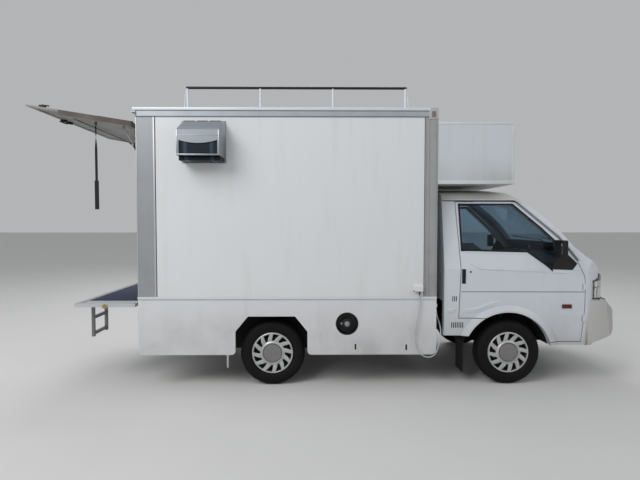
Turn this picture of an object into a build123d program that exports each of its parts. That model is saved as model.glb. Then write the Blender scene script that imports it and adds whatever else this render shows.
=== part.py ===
from build123d import *
import os
from math import cos, radians, sin

os.makedirs("parts", exist_ok=True)

# Small ice cream truck: short-nosed cab, tall box body with an open rear flap and a lowered rear gate.
# Millimetres. +X forward, +Y to the vehicle's left. Heights are measured from a level DATUM_Z above the
# ground, and every finished piece is raised by that much as it is saved.
DATUM_Z = 44.0

# The cab is placed from CAB_X, just behind the front axle, and the box from the cab's back and the rear axle.

# Running clearances
PIN_GAP = 0.3        # between hinge knuckles, hubs and the pieces that carry them
MOVE_GAP = 7.0       # round doors and lids
HINGE_R = 10.0
KNUCKLE_Y = 600.0    # the flap's and the gate's hinge knuckles stand this far each side of the centre
KNUCKLE_W = 20.0

# Wheels and axles
WHEELBASE = 2242.0
REAR_AXLE_X = -528.0
FRONT_AXLE_X = REAR_AXLE_X + WHEELBASE
TYRE_R = 306.0
AXLE_Z = TYRE_R - DATUM_Z
TYRE_W = 165.0
WHEEL_Y = 735.0      # wheel centre from the centre line
RIM_R = 178.0
COVER_R = 195.0
BEAD_HALF = 61.0     # half width of the tyre between the rim's lips
LIP_GAP = 1.0

# Cab
CAB_X = FRONT_AXLE_X - 20.0  # every x of the cab's outlines is measured from here
CAB_REAR_X = CAB_X - 602.0
CAB_HALF = 830.0
CAB_ROOF_Z = 1838.0
CAB_WALL = 45.0
CAB_SILL_Z = 429.0
CAB_FRONT_SILL_Z = 335.0
NOSE_AXIS_X = CAB_X - 2094.0  # the windscreen and nose are turned about an upright line here
ARCH_X = CAB_X + 1.0
ARCH_Z = AXLE_Z - 33.0
ARCH_R = TYRE_R + 117.0
REAR_ARCH_TOP_Z = AXLE_Z + 363.0
DECK_Z = 790.0       # floor under the seats
FOOTWELL_Z = 560.0
FOOTWELL_X = CAB_X + 396.0
BULKHEAD_X = CAB_X + 786.0
BULKHEAD_TOP_Z = 1040.0
PANEL_T = 40.0       # floor and bulkhead thickness
UNDER_HALF = CAB_HALF - 70.0  # half width of the open space under the cab floor

# Box body
CAB_GAP = 86.0       # between the cab's back and the box
BOX_REAR_X = REAR_AXLE_X - 1235.0
BOX_FRONT_X = CAB_REAR_X - CAB_GAP
BOX_HALF = 880.0
BOX_TOP = 2545.0
MOULDING_H = 82.0
WALL_TOP = BOX_TOP - MOULDING_H
WALL = 40.0
FLOOR_TOP = 745.0
FLOOR_T = 40.0
BELT_Z = 810.0
BELT_T = 20.0
BELT_OUT = 12.0      # how far the belt ledge stands out of the wall
SKIRT_Z = 265.0
SKIRT_T = 20.0
REAR_POST_W = 175.0
FRONT_POST_W = 119.0
POST_T = 60.0
HEADER_H = 60.0
SILL_Z = 560.0
SILL_T = 40.0

# Ladder frame
RAIL_Y = 400.0
RAIL_W = 60.0
RAIL_IN = RAIL_Y - RAIL_W / 2
RAIL_OUT = RAIL_Y + RAIL_W / 2
RAIL_Z = 400.0
RAIL_H = 110.0
RAIL_TOP = RAIL_Z + RAIL_H
RAIL_REAR_X = BOX_REAR_X + 63.0
RAIL_FRONT_X = CAB_X + 866.0

# Rear flap and gate
FLAP_HINGE_X = BOX_REAR_X - 33.0
FLAP_HINGE_Z = BOX_TOP - 148.0
FLAP_LENGTH = 1030.0
FLAP_LIFT = 9.0      # degrees above level, as it stands open
FLAP_T = 45.0
FLAP_EDGE_GAP = 15.0
FLAP_HALF = BOX_HALF - 2.0
GATE_HINGE_X = BOX_REAR_X - 20.0
GATE_T = 30.0
GATE_HINGE_Z = FLOOR_TOP - GATE_T / 2
GATE_LENGTH = 568.0
GATE_EDGE_GAP = 10.0


def save(part, label):
    """Stand a finished piece at its height above the ground, name it and write it."""
    standing = part.moved(Location((0, 0, DATUM_Z)))
    standing.label = label
    export_step(standing, f"parts/{label}.step")


def block(x0, x1, y0, y1, z0, z1, mode=Mode.ADD):
    """A plain block between two opposite corners, given in any order."""
    with Locations(((x0 + x1) / 2, (y0 + y1) / 2, (z0 + z1) / 2)):
        Box(abs(x1 - x0), abs(y1 - y0), abs(z1 - z0), mode=mode)


def bar(start, end, radius, mode=Mode.ADD):
    """A round bar from one point to another."""
    run = Vector(*end) - Vector(*start)
    with BuildSketch(Plane(origin=start, z_dir=run)) as section:
        Circle(radius)
    extrude(section.sketch, amount=run.length, mode=mode)


# Tyre: one turned section, centred on the wheel
TREAD_HALF = 66.0
SHOULDER = 12.0      # how far the tread's edge lies inside the tyre's radius
BELLY_R = RIM_R + 66.0  # where the sidewall is widest
BEAD_R = COVER_R + 3.0
with BuildPart() as tyre_form:
    with BuildSketch(Plane(origin=(0, 0, 0), x_dir=(1, 0, 0), z_dir=(0, 0, 1))):
        with BuildLine():
            Polyline((BEAD_R, -BEAD_HALF), (RIM_R + PIN_GAP, -BEAD_HALF), (RIM_R + PIN_GAP, BEAD_HALF),
                     (BEAD_R, BEAD_HALF))
            ThreePointArc((BEAD_R, BEAD_HALF), (BELLY_R, TYRE_W / 2), (TYRE_R - SHOULDER, TREAD_HALF))
            ThreePointArc((TYRE_R - SHOULDER, TREAD_HALF), (TYRE_R, 0), (TYRE_R - SHOULDER, -TREAD_HALF))
            ThreePointArc((TYRE_R - SHOULDER, -TREAD_HALF), (BELLY_R, -TYRE_W / 2), (BEAD_R, -BEAD_HALF))
        make_face()
    revolve(axis=Axis.Y)

# Wheel: barrel, disc and hub, with a pressed cover of twelve swirled blades clipped to its outer lip
BLADES = 12
WINDOW_R0 = 107.0
WINDOW_R1 = 174.0
WINDOW_LEAN = 9.0    # degrees that each window leans round as it goes outwards
WINDOW_HALF = 8.5    # half width of a window, degrees
WINDOW_DEPTH = 30.0
WHEEL_HALF = 70.0
HUB_R = 60.0
HUB_IN = -45.0       # inner end of the hub from the wheel centre, along the axle, inwards
DISC_Y = -8.0        # the disc's inner face
BARREL_T = 16.0
CAP_R = 84.0
CAP_OUT = 10.0       # how far the raised middle stands out of the cover
with BuildPart() as wheel_form:
    with BuildSketch(Plane(origin=(0, 0, 0), x_dir=(1, 0, 0), z_dir=(0, 0, 1))):
        with BuildLine():
            Polyline(
                (0, -HUB_IN), (HUB_R, -HUB_IN), (HUB_R, DISC_Y), (RIM_R - BARREL_T, DISC_Y),
                (RIM_R - BARREL_T, WHEEL_HALF), (COVER_R - 5, WHEEL_HALF), (COVER_R - 5, BEAD_HALF + LIP_GAP),
                (RIM_R, BEAD_HALF + LIP_GAP), (RIM_R, -BEAD_HALF - LIP_GAP), (COVER_R, -BEAD_HALF - LIP_GAP),
                (COVER_R, -WHEEL_HALF + 1), (COVER_R - 10, -WHEEL_HALF - 5), (WINDOW_R1 + 4, -WHEEL_HALF - 3),
                (WINDOW_R0 - 4, -WHEEL_HALF + 4), (CAP_R + 8, -WHEEL_HALF - 4),
                (CAP_R, -WHEEL_HALF - CAP_OUT),
                (0, -WHEEL_HALF - CAP_OUT), (0, -HUB_IN),
            )
        make_face()
    revolve(axis=Axis.Y)
    window = [
        (r * sin(radians(a)), r * cos(radians(a)))
        for r, a in (
            (WINDOW_R0, -WINDOW_HALF), (WINDOW_R1, WINDOW_LEAN - WINDOW_HALF),
            (WINDOW_R1, WINDOW_LEAN + WINDOW_HALF), (WINDOW_R0, WINDOW_HALF),
        )
    ]
    with BuildSketch(Plane.XZ.offset(WHEEL_HALF + CAP_OUT)):
        with PolarLocations(0, BLADES):
            Polygon(*window, align=None)
    extrude(amount=-WINDOW_DEPTH - CAP_OUT, mode=Mode.SUBTRACT)

WHEEL_PLACES = (
    # name, axle x, side
    ("front_right", FRONT_AXLE_X, -1),
    ("front_left", FRONT_AXLE_X, 1),
    ("rear_right", REAR_AXLE_X, -1),
    ("rear_left", REAR_AXLE_X, 1),
)
for corner, axle_x, side in WHEEL_PLACES:
    place = Location((axle_x, side * WHEEL_Y, AXLE_Z), (0, 0, 0 if side < 0 else 180))
    for kind, form in (("tyre", tyre_form), ("wheel", wheel_form)):
        with BuildPart() as piece:
            with Locations(place):
                add(form.part)
        save(piece.part, f"{kind}_{corner}")

# Ladder frame: two box rails, crossmembers, outriggers for the rear springs' eyes, and cab mounts
CROSS_H = 55.0
CROSS_W = 60.0
CROSS_DROP = 10.0    # crossmember's top below the rail's
CROSS_XS = (RAIL_REAR_X + 30, REAR_AXLE_X - 522, REAR_AXLE_X + 328, BOX_FRONT_X - 246, CAB_REAR_X + 128,
            BULKHEAD_X)
MOUNT_L = 60.0
MOUNT_INSET = 2.0
CAB_MOUNTS = (
    # rear edge x, height of the floor panel's underside
    (CAB_REAR_X + 98, DECK_Z - PANEL_T),
    (CAB_X + 506, FOOTWELL_Z - PANEL_T),
)
SPRING_Y = 540.0
SPRING_W = 60.0
SPRING_HALF = 550.0
SPRING_T = 30.0
SPRING_RISE = 70.0
SPRING_END = 25.0    # how far the leaves run past their eyes
AXLE_R = 35.0
SPRING_LOW_Z = AXLE_Z + AXLE_R
SPRING_EYE_Z = SPRING_LOW_Z + SPRING_T + SPRING_RISE
EYE_HALF = 20.0
with BuildPart() as chassis_frame:
    for side in (-1, 1):
        block(RAIL_REAR_X, RAIL_FRONT_X, side * RAIL_IN, side * RAIL_OUT, RAIL_Z, RAIL_TOP)
        for eye_x in (REAR_AXLE_X - SPRING_HALF, REAR_AXLE_X + SPRING_HALF):
            block(eye_x - EYE_HALF, eye_x + EYE_HALF, side * RAIL_OUT, side * (SPRING_Y + SPRING_W / 2),
                  SPRING_EYE_Z, RAIL_TOP)
        for mount_x, under in CAB_MOUNTS:
            block(mount_x, mount_x + MOUNT_L, side * (RAIL_IN + MOUNT_INSET), side * (RAIL_OUT - MOUNT_INSET),
                  RAIL_TOP, under)
    for cross_x in CROSS_XS:
        block(cross_x - CROSS_W / 2, cross_x + CROSS_W / 2, -RAIL_Y, RAIL_Y,
              RAIL_TOP - CROSS_DROP - CROSS_H, RAIL_TOP - CROSS_DROP)
save(chassis_frame.part, "chassis_frame")

# Engine: one plain block between the rails, under the seats, on two feet
ENGINE_X0 = CAB_X - 344.0
ENGINE_X1 = CAB_X + 156.0
ENGINE_HALF = 230.0
ENGINE_Z0 = 330.0
ENGINE_Z1 = DECK_Z - 50.0
ENGINE_FOOT_X = CAB_X - 94.0
ENGINE_FOOT_Z = 440.0
ENGINE_FOOT = 40.0
with BuildPart() as engine_block:
    block(ENGINE_X0, ENGINE_X1, -ENGINE_HALF, ENGINE_HALF, ENGINE_Z0, ENGINE_Z1)
    for side in (-1, 1):
        block(ENGINE_FOOT_X - ENGINE_FOOT, ENGINE_FOOT_X + ENGINE_FOOT, side * ENGINE_HALF, side * RAIL_IN,
              ENGINE_FOOT_Z, ENGINE_FOOT_Z + ENGINE_FOOT)
save(engine_block.part, "engine_block")

# Rear axle: a tube with a round final drive in its middle
DRIVE_R = 115.0
HUB_Y = WHEEL_Y + HUB_IN - PIN_GAP
with BuildPart() as rear_axle:
    bar((REAR_AXLE_X, -HUB_Y, AXLE_Z), (REAR_AXLE_X, HUB_Y, AXLE_Z), AXLE_R)
    with Locations((REAR_AXLE_X, 0, AXLE_Z)):
        Sphere(DRIVE_R)
save(rear_axle.part, "rear_axle")

# Propeller shaft from the gearbox back to the final drive
SHAFT_R = 30.0
SHAFT_FRONT = Vector(ENGINE_X0 - 2, 0, 385)
shaft_way = (SHAFT_FRONT - Vector(REAR_AXLE_X, 0, AXLE_Z)).normalized()
shaft_rear = Vector(REAR_AXLE_X, 0, AXLE_Z) + shaft_way * (DRIVE_R + PIN_GAP)
with BuildPart() as propeller_shaft:
    bar(tuple(shaft_rear), tuple(SHAFT_FRONT), SHAFT_R)
save(propeller_shaft.part, "propeller_shaft")

# Leaf springs: one curved pack each side, clamped on the axle tube
with BuildPart() as leaf_springs:
    for side in (-1, 1):
        with BuildSketch(Plane.XZ.offset(-(side * SPRING_Y + SPRING_W / 2))):
            with BuildLine():
                tips = [
                    (REAR_AXLE_X + end * (SPRING_HALF + SPRING_END), SPRING_LOW_Z + SPRING_RISE)
                    for end in (-1, 1)
                ]
                heads = [(x, z + SPRING_T) for x, z in tips]
                ThreePointArc(tips[0], (REAR_AXLE_X, SPRING_LOW_Z), tips[1])
                Line(tips[1], heads[1])
                ThreePointArc(heads[1], (REAR_AXLE_X, SPRING_LOW_Z + SPRING_T), heads[0])
                Line(heads[0], tips[0])
            make_face()
        extrude(amount=SPRING_W)
save(leaf_springs.part, "leaf_springs")

# Exhaust: silencer and tail pipe on the left of the propeller shaft
EXHAUST_Y = ENGINE_HALF + 60.0
EXHAUST_Z = 385.0
PIPE_R = 23.0
PIPE_FRONT_X = ENGINE_X0 + 150.0
TAIL_X = BOX_REAR_X + 33.0
SILENCER_R = 68.0
SILENCER_X = REAR_AXLE_X + 558.0
SILENCER_L = 500.0
with BuildPart() as exhaust:
    bar((TAIL_X, EXHAUST_Y, EXHAUST_Z), (PIPE_FRONT_X, EXHAUST_Y, EXHAUST_Z), PIPE_R)
    bar((SILENCER_X, EXHAUST_Y, EXHAUST_Z), (SILENCER_X + SILENCER_L, EXHAUST_Y, EXHAUST_Z), SILENCER_R)
    bar((PIPE_FRONT_X, EXHAUST_Y, EXHAUST_Z), (PIPE_FRONT_X, ENGINE_HALF, EXHAUST_Z), PIPE_R)
    with Locations((PIPE_FRONT_X, EXHAUST_Y, EXHAUST_Z)):
        Sphere(PIPE_R)
save(exhaust.part, "exhaust")

# Fuel tank behind the right skirt, with its neck and locking cap in a round recess
FILLER_X = REAR_AXLE_X + 701.0
FILLER_Z = 556.0
FILLER_R = 99.0
NECK_R = 45.0
CAP_HEX_R = 30.0
CAP_HEX_T = 24.0
TANK_X0 = FILLER_X - 93.0
TANK_X1 = TANK_X0 + 560.0
TANK_OUT = BOX_HALF - 60.0
TANK_IN = RAIL_OUT + 20.0
TANK_Z0 = 330.0
TANK_Z1 = 600.0
STRAP_IN = 110.0     # hanger straps from the tank's ends
with BuildPart() as fuel_tank:
    block(TANK_X0, TANK_X1, -TANK_OUT, -TANK_IN, TANK_Z0, TANK_Z1)
    fillet(fuel_tank.edges().filter_by(Axis.X), 30)
    for strap_x in (TANK_X0 + STRAP_IN, TANK_X1 - STRAP_IN):
        block(strap_x - 20, strap_x + 20, -TANK_IN - 40, -RAIL_OUT, RAIL_Z + 30, RAIL_Z + 80)
    bar((FILLER_X, -TANK_OUT + 5, FILLER_Z), (FILLER_X, -BOX_HALF + SKIRT_T - 4, FILLER_Z), NECK_R)
    with BuildSketch(Plane.XZ.offset(BOX_HALF - SKIRT_T + 4)):
        with Locations((FILLER_X, FILLER_Z)):
            RegularPolygon(CAP_HEX_R, 6)
    extrude(amount=CAP_HEX_T)
save(fuel_tank.part, "fuel_tank")

# Front suspension: crossmember, lower arms and strut towers on the rails
KING_Y = 600.0
ARM_Z0 = 130.0
ARM_Z1 = 160.0
ARM_R = 18.0
ARM_END_IN = 26.0    # the arms end this far inside the king pin's line
PIVOT_R = 32.0
MEMBER_HALF = 50.0   # half the crossmember's length along the truck
MEMBER_Z = 250.0
TOWER_HALF = 60.0
TOWER_Z = 660.0
TOWER_T = 25.0
with BuildPart() as front_suspension:
    block(FRONT_AXLE_X - MEMBER_HALF, FRONT_AXLE_X + MEMBER_HALF, -RAIL_OUT, RAIL_OUT,
          MEMBER_Z, ENGINE_Z0 - 1)
    for side in (-1, 1):
        block(FRONT_AXLE_X - MEMBER_HALF, FRONT_AXLE_X + MEMBER_HALF, side * RAIL_IN, side * RAIL_OUT,
              MEMBER_Z, RAIL_Z)
        bar((FRONT_AXLE_X, side * RAIL_Y, MEMBER_Z + 25),
            (FRONT_AXLE_X, side * (KING_Y - ARM_END_IN), ARM_Z0 + 5), ARM_R)
        with Locations((FRONT_AXLE_X, side * KING_Y, (ARM_Z0 + ARM_Z1) / 2)):
            Cylinder(PIVOT_R, ARM_Z1 - ARM_Z0)
        block(FRONT_AXLE_X - TOWER_HALF, FRONT_AXLE_X + TOWER_HALF, side * (RAIL_IN + MOUNT_INSET),
              side * (KING_Y + 40), TOWER_Z, TOWER_Z + TOWER_T)
        block(FRONT_AXLE_X - TOWER_HALF, FRONT_AXLE_X + TOWER_HALF, side * (RAIL_IN + MOUNT_INSET),
              side * (RAIL_OUT - MOUNT_INSET), RAIL_TOP, TOWER_Z)
save(front_suspension.part, "front_suspension")

# Knuckles: strut tube on the king pin line, stub axle and steering arm
KNUCKLE_R = 25.0
STUB_R = 40.0
STEER_ARM = 130.0
STEER_ARM_Z = 206.0
for side, label in ((-1, "knuckle_right"), (1, "knuckle_left")):
    with BuildPart() as knuckle:
        bar((FRONT_AXLE_X, side * KING_Y, ARM_Z1 + PIN_GAP),
            (FRONT_AXLE_X, side * KING_Y, TOWER_Z - PIN_GAP), KNUCKLE_R)
        bar((FRONT_AXLE_X, side * KING_Y, AXLE_Z), (FRONT_AXLE_X, side * HUB_Y, AXLE_Z), STUB_R)
        block(FRONT_AXLE_X - STEER_ARM, FRONT_AXLE_X, side * KING_Y - 12, side * KING_Y + 12,
              STEER_ARM_Z, STEER_ARM_Z + 25)
    save(knuckle.part, label)

# Cab outlines. All x values here are measured forward from CAB_X.
NOSE_LINE = (
    # x, z down the middle of the nose, from under the bumper up to the bonnet's edge
    (926, CAB_FRONT_SILL_Z - 1), (1006, 560), (1054, 760), (1043, 948),
)
BONNET_X = 866.0
BONNET_Z = 1172.0
SCREEN_X0 = 746.0
SCREEN_Z0 = 1272.0
SCREEN_X1 = 111.0
SCREEN_Z1 = CAB_ROOF_Z - 48.0
TAIL = CAB_REAR_X - CAB_X
CUT_PAST = 100.0     # how far the closed forms run past the faces that cut them
DOOR_BOTTOM_Z = 591.0
DOOR_FRONT_BOTTOM_Z = 363.0
DOOR_TOP_Z = CAB_ROOF_Z - 138.0
WINDOW_TOP_Z = CAB_ROOF_Z - 175.0
DOOR_OUTLINE = (
    (TAIL + 136, DOOR_BOTTOM_Z), (TAIL + 154, 1060), (TAIL + 122, DOOR_TOP_Z), (96, DOOR_TOP_Z), (496, 1352),
    (666, 1126), (730, 987), (738, 910), (736, 708), (711, DOOR_FRONT_BOTTOM_Z), (-10, DOOR_FRONT_BOTTOM_Z),
    (-10, DOOR_BOTTOM_Z),
)
WINDOW_OUTLINE = (
    (TAIL + 178, 1243), (TAIL + 170, WINDOW_TOP_Z), (74, WINDOW_TOP_Z), (332, 1438), (500, 1272), (416, 1056),
    (357, 1110), (194, 1230),
)
SAIL_OUTLINE = ((416, 1056), (500, 1272), (660, 1110), (609, 1049))
CAB_FOOT_Z = 100.0   # the forms that are cut away start here, below the sills
SCREEN_HALF = CAB_HALF - 140.0
SCREEN_TOP_HALF = CAB_HALF - 270.0
SCREEN_OUTLINE = (
    # y, z seen from ahead
    (-SCREEN_TOP_HALF, SCREEN_Z1 - 20), (SCREEN_TOP_HALF, SCREEN_Z1 - 20),
    (SCREEN_HALF, SCREEN_Z0 + 18), (-SCREEN_HALF, SCREEN_Z0 + 18),
)
FLARE_W = 64.0       # lip round the front wheel opening: full width, flat part and how far it stands out
FLARE_FLAT = 14.0
FLARE_OUT = 22.0
SLOT_W = 9.0
SLOT_PITCH = 17.2
SLOT_DEPTH = 8.0
AIR_SLOTS = (
    # rear edge from CAB_X, lower edge, height, number of slots
    (-525.0, 754.0, 50.0, 3),
    (-531.0, 503.0, 53.0, 7),
)
SCREEN_FROM_X = CAB_X + 6.0
SCREEN_DEPTH = 900.0
BACK_WINDOW = (-SCREEN_TOP_HALF, SCREEN_TOP_HALF, 1270.0, DOOR_TOP_Z - 60)
GLASS_DEPTH = 14.0   # glass lies this far inside the cab's outer form
GLASS_T = 6.0
side_plane = Plane(origin=(CAB_X, 0, 0), x_dir=(1, 0, 0), z_dir=(0, -1, 0))
plan_plane = Plane(origin=(CAB_X, 0, 0))
nose_axis = Axis((NOSE_AXIS_X, 0, 0), (0, 0, -1))
NOSE_SWEEP = 36.0    # degrees each side, wider than the cab


def cab_form(inset, to_sills=False):
    """The cab's form, drawn in by inset. It ends at the sills or runs on down below them."""
    sill, front_sill = (CAB_SILL_Z, NOSE_LINE[0][1]) if to_sills else (CAB_FOOT_Z + 50, CAB_FOOT_Z + 49)
    back = 0.65 * inset
    down = 0.76 * inset
    mid_x = (SCREEN_X0 + SCREEN_X1) / 2 + 37.5
    mid_z = (SCREEN_Z0 + SCREEN_Z1) / 2 + 33
    half = CAB_HALF - inset
    nose = [(x - inset, z) for x, z in NOSE_LINE]
    with BuildPart() as form:
        with BuildSketch(side_plane) as profile:
            with BuildLine():
                Polyline((TAIL - CUT_PAST, sill), (-10, sill), (-10, front_sill), (nose[0][0], front_sill),
                         *nose[1:])
                ThreePointArc(nose[-1], ((nose[-1][0] + BONNET_X + inset) / 2 + 23.5 - back, 1075 - down / 2),
                              (BONNET_X - back, BONNET_Z - down))
                Line((BONNET_X - back, BONNET_Z - down), (SCREEN_X0 - back, SCREEN_Z0 - down))
                ThreePointArc((SCREEN_X0 - back, SCREEN_Z0 - down), (mid_x - back, mid_z - down),
                              (SCREEN_X1 - back, SCREEN_Z1 - down))
                ThreePointArc((SCREEN_X1 - back, SCREEN_Z1 - down), (SCREEN_X1 - 355, CAB_ROOF_Z - inset),
                              (TAIL - CUT_PAST, CAB_ROOF_Z - 23 - inset))
                Line((TAIL - CUT_PAST, CAB_ROOF_Z - 23 - inset), (TAIL - CUT_PAST, sill))
            make_face()
        revolve(profile.sketch, axis=nose_axis, revolution_arc=NOSE_SWEEP)
        mirror(about=Plane.XZ)
        with BuildSketch(Plane.YZ.offset(CAB_REAR_X + max(inset, 0))) as section:
            with BuildLine():
                Polyline((0, CAB_FOOT_Z), (half - 30, CAB_FOOT_Z), (half, 620), (half, 1060),
                         (half - 124, DOOR_TOP_Z))
                ThreePointArc((half - 124, DOOR_TOP_Z), (CAB_HALF - 150 - down, CAB_ROOF_Z - 80 - back),
                              (CAB_HALF - 208 - inset / 3, CAB_ROOF_Z - 50 - inset))
                ThreePointArc((CAB_HALF - 208 - inset / 3, CAB_ROOF_Z - 50 - inset),
                              (CAB_HALF - 510, CAB_ROOF_Z - 13 - inset), (0, CAB_ROOF_Z - inset))
                Line((0, CAB_ROOF_Z - inset), (0, CAB_FOOT_Z))
            make_face()
            mirror(about=Plane.YZ)
        extrude(section.sketch, amount=2 * SCREEN_DEPTH, mode=Mode.INTERSECT)
        with BuildSketch(plan_plane) as plan:
            with BuildLine():
                Polyline((TAIL - CUT_PAST, 0), (TAIL - CUT_PAST, half + 8), (636, half + 8))
                ThreePointArc((636, half + 8), (881 - back, CAB_HALF - 60 - down),
                              (1006 - down, CAB_HALF - 250 - back))
                Polyline((1006 - down, CAB_HALF - 250 - back), (1166 - inset, 0), (TAIL - CUT_PAST, 0))
            make_face()
            mirror(about=Plane.XZ)
        extrude(plan.sketch, amount=CAB_ROOF_Z + CUT_PAST, mode=Mode.INTERSECT)
    return form.part


def side_prism(points, inset=0.0):
    """Cut a side outline through the right-hand wall of the cab."""
    with BuildPart() as prism:
        with BuildSketch(side_plane.offset(SCREEN_TOP_HALF)):
            Polygon(*points, align=None)
            if inset:
                offset(amount=-inset, kind=Kind.INTERSECTION)
        extrude(amount=CAB_HALF - SCREEN_TOP_HALF + CUT_PAST)
    return prism.part


def cross_prism(points, half):
    """A side outline in plain x and z, run across the cab."""
    with BuildPart() as prism:
        with BuildSketch(Plane.XZ.offset(-half)):
            Polygon(*points, align=None)
        extrude(amount=2 * half)
    return prism.part


def front_flare():
    """The raised lip round the right front wheel opening, above the sills."""
    with BuildPart() as flare:
        with BuildSketch(Plane(origin=(ARCH_X, 0, ARCH_Z))) as section:
            Polygon((ARCH_R, CAB_WALL - CAB_HALF), (ARCH_R, -CAB_HALF - FLARE_OUT),
                    (ARCH_R + FLARE_FLAT, -CAB_HALF - FLARE_OUT), (ARCH_R + FLARE_W, -CAB_HALF),
                    (ARCH_R + FLARE_W, CAB_WALL - CAB_HALF), align=None)
        revolve(section.sketch, axis=Axis((ARCH_X, 0, ARCH_Z), (0, 1, 0)))
        block(ARCH_X - 2 * ARCH_R, ARCH_X, -2 * CAB_HALF, 0, -ARCH_R, CAB_SILL_Z, mode=Mode.SUBTRACT)
        block(ARCH_X, ARCH_X + 2 * ARCH_R, -2 * CAB_HALF, 0, -ARCH_R, CAB_FRONT_SILL_Z, mode=Mode.SUBTRACT)
    return flare.part


def arch_drum():
    """The round opening over both front wheels."""
    with BuildPart() as drum:
        with Locations(Location((ARCH_X, 0, ARCH_Z), (90, 0, 0))):
            Cylinder(ARCH_R, 2 * (CAB_HALF + CUT_PAST))
    return drum.part


with BuildPart() as flared_form:
    add(cab_form(0, to_sills=True))
    add(front_flare())
    add(mirror(front_flare(), about=Plane.XZ, mode=Mode.PRIVATE))
cab_outside = flared_form.part
cab_inside = cab_form(CAB_WALL)
glass_outer = cab_form(GLASS_DEPTH)
glass_inner = cab_form(GLASS_DEPTH + GLASS_T)

# Cab floor: deck under the seats, step down to the footwell, and the bulkhead, in one pressed panel
STEP_X = FOOTWELL_X - 40.0  # foot of the slope between deck and footwell
with BuildPart() as cab_floor:
    add(cross_prism((
        (CAB_REAR_X + CAB_WALL, DECK_Z), (STEP_X, DECK_Z), (FOOTWELL_X, FOOTWELL_Z),
        (BULKHEAD_X - 30, FOOTWELL_Z), (BULKHEAD_X, BULKHEAD_TOP_Z), (BULKHEAD_X + PANEL_T, BULKHEAD_TOP_Z),
        (BULKHEAD_X, FOOTWELL_Z - PANEL_T), (FOOTWELL_X - PANEL_T, FOOTWELL_Z - PANEL_T),
        (STEP_X - PANEL_T, DECK_Z - PANEL_T), (CAB_REAR_X + CAB_WALL, DECK_Z - PANEL_T),
    ), UNDER_HALF))
save(cab_floor.part, "cab_floor")

# Cab shell: back wall, pillars, nose and sills in one welded body, and the roof above the doors' gutter line
DOOR_AXIS_X = CAB_X + 719.0
DOOR_AXIS_Y = CAB_HALF - 2.0  # in the door's outer face, so that its front edge swings clear of the nose
DOOR_HINGE_R = 6.0
DOOR_HINGE_ZS = (560.0, 860.0)
DOOR_HINGE_H = 60.0
DOOR_HINGE_ROOT = 26.0
with BuildPart() as room:
    add(cross_prism((
        (CAB_REAR_X, DECK_Z), (STEP_X, DECK_Z), (FOOTWELL_X, FOOTWELL_Z), (BULKHEAD_X - 30, FOOTWELL_Z),
        (BULKHEAD_X, BULKHEAD_TOP_Z), (BULKHEAD_X, CAB_ROOF_Z), (CAB_REAR_X, CAB_ROOF_Z),
    ), CAB_HALF))
    add(cab_inside, mode=Mode.INTERSECT)
with BuildPart() as whole_shell:
    add(cab_outside)
    add(room.part, mode=Mode.SUBTRACT)
    add(cross_prism((
        (CAB_REAR_X - 20, CAB_SILL_Z / 2), (CAB_REAR_X - 20, DECK_Z - PANEL_T),
        (STEP_X - PANEL_T, DECK_Z - PANEL_T), (FOOTWELL_X - PANEL_T, FOOTWELL_Z - PANEL_T),
        (BULKHEAD_X, FOOTWELL_Z - PANEL_T), (BULKHEAD_X + PANEL_T, BULKHEAD_TOP_Z),
        (CAB_X + 946, BULKHEAD_TOP_Z), (CAB_X + 966, CAB_SILL_Z / 2),
    ), UNDER_HALF), mode=Mode.SUBTRACT)
    add(cab_floor.part, mode=Mode.SUBTRACT)
    add(arch_drum(), mode=Mode.SUBTRACT)
    for side in (-1, 1):
        opening = side_prism(DOOR_OUTLINE)
        add(opening if side < 0 else mirror(opening, about=Plane.XZ, mode=Mode.PRIVATE), mode=Mode.SUBTRACT)
    for side in (-1, 1):
        for hinge_z in DOOR_HINGE_ZS:
            bar((DOOR_AXIS_X, side * DOOR_AXIS_Y, hinge_z + PIN_GAP),
                (DOOR_AXIS_X, side * DOOR_AXIS_Y, hinge_z + DOOR_HINGE_H - PIN_GAP), DOOR_HINGE_R)
            block(DOOR_AXIS_X, DOOR_AXIS_X + DOOR_HINGE_ROOT, side * DOOR_AXIS_Y - DOOR_HINGE_R,
                  side * DOOR_AXIS_Y + DOOR_HINGE_R, hinge_z + PIN_GAP, hinge_z + DOOR_HINGE_H - PIN_GAP)
    for slot_x, slot_z, slot_h, count in AIR_SLOTS:
        for i in range(round(count)):
            for side in (-1, 1):
                left = CAB_X + slot_x + i * SLOT_PITCH
                block(left, left + SLOT_W, side * (CAB_HALF - SLOT_DEPTH), side * (CAB_HALF + SLOT_DEPTH),
                      slot_z, slot_z + slot_h, mode=Mode.SUBTRACT)
    block(CAB_REAR_X - 5, CAB_REAR_X + CAB_WALL + 5, *BACK_WINDOW, mode=Mode.SUBTRACT)
    with BuildSketch(Plane.YZ.offset(SCREEN_FROM_X)):
        Polygon(*SCREEN_OUTLINE, align=None)
    extrude(amount=SCREEN_DEPTH, mode=Mode.SUBTRACT)
ABOVE_GUTTER = (TAIL + CAB_X - CUT_PAST, CAB_X + SCREEN_DEPTH, -CAB_HALF - CUT_PAST, CAB_HALF + CUT_PAST,
                DOOR_TOP_Z, CAB_ROOF_Z + CUT_PAST)
with BuildPart() as cab_shell:
    add(whole_shell.part)
    block(*ABOVE_GUTTER, mode=Mode.SUBTRACT)
save(cab_shell.part, "cab_shell")
with BuildPart() as cab_roof:
    add(whole_shell.part)
    block(*ABOVE_GUTTER, mode=Mode.INTERSECT)
save(cab_roof.part, "cab_roof")

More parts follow.
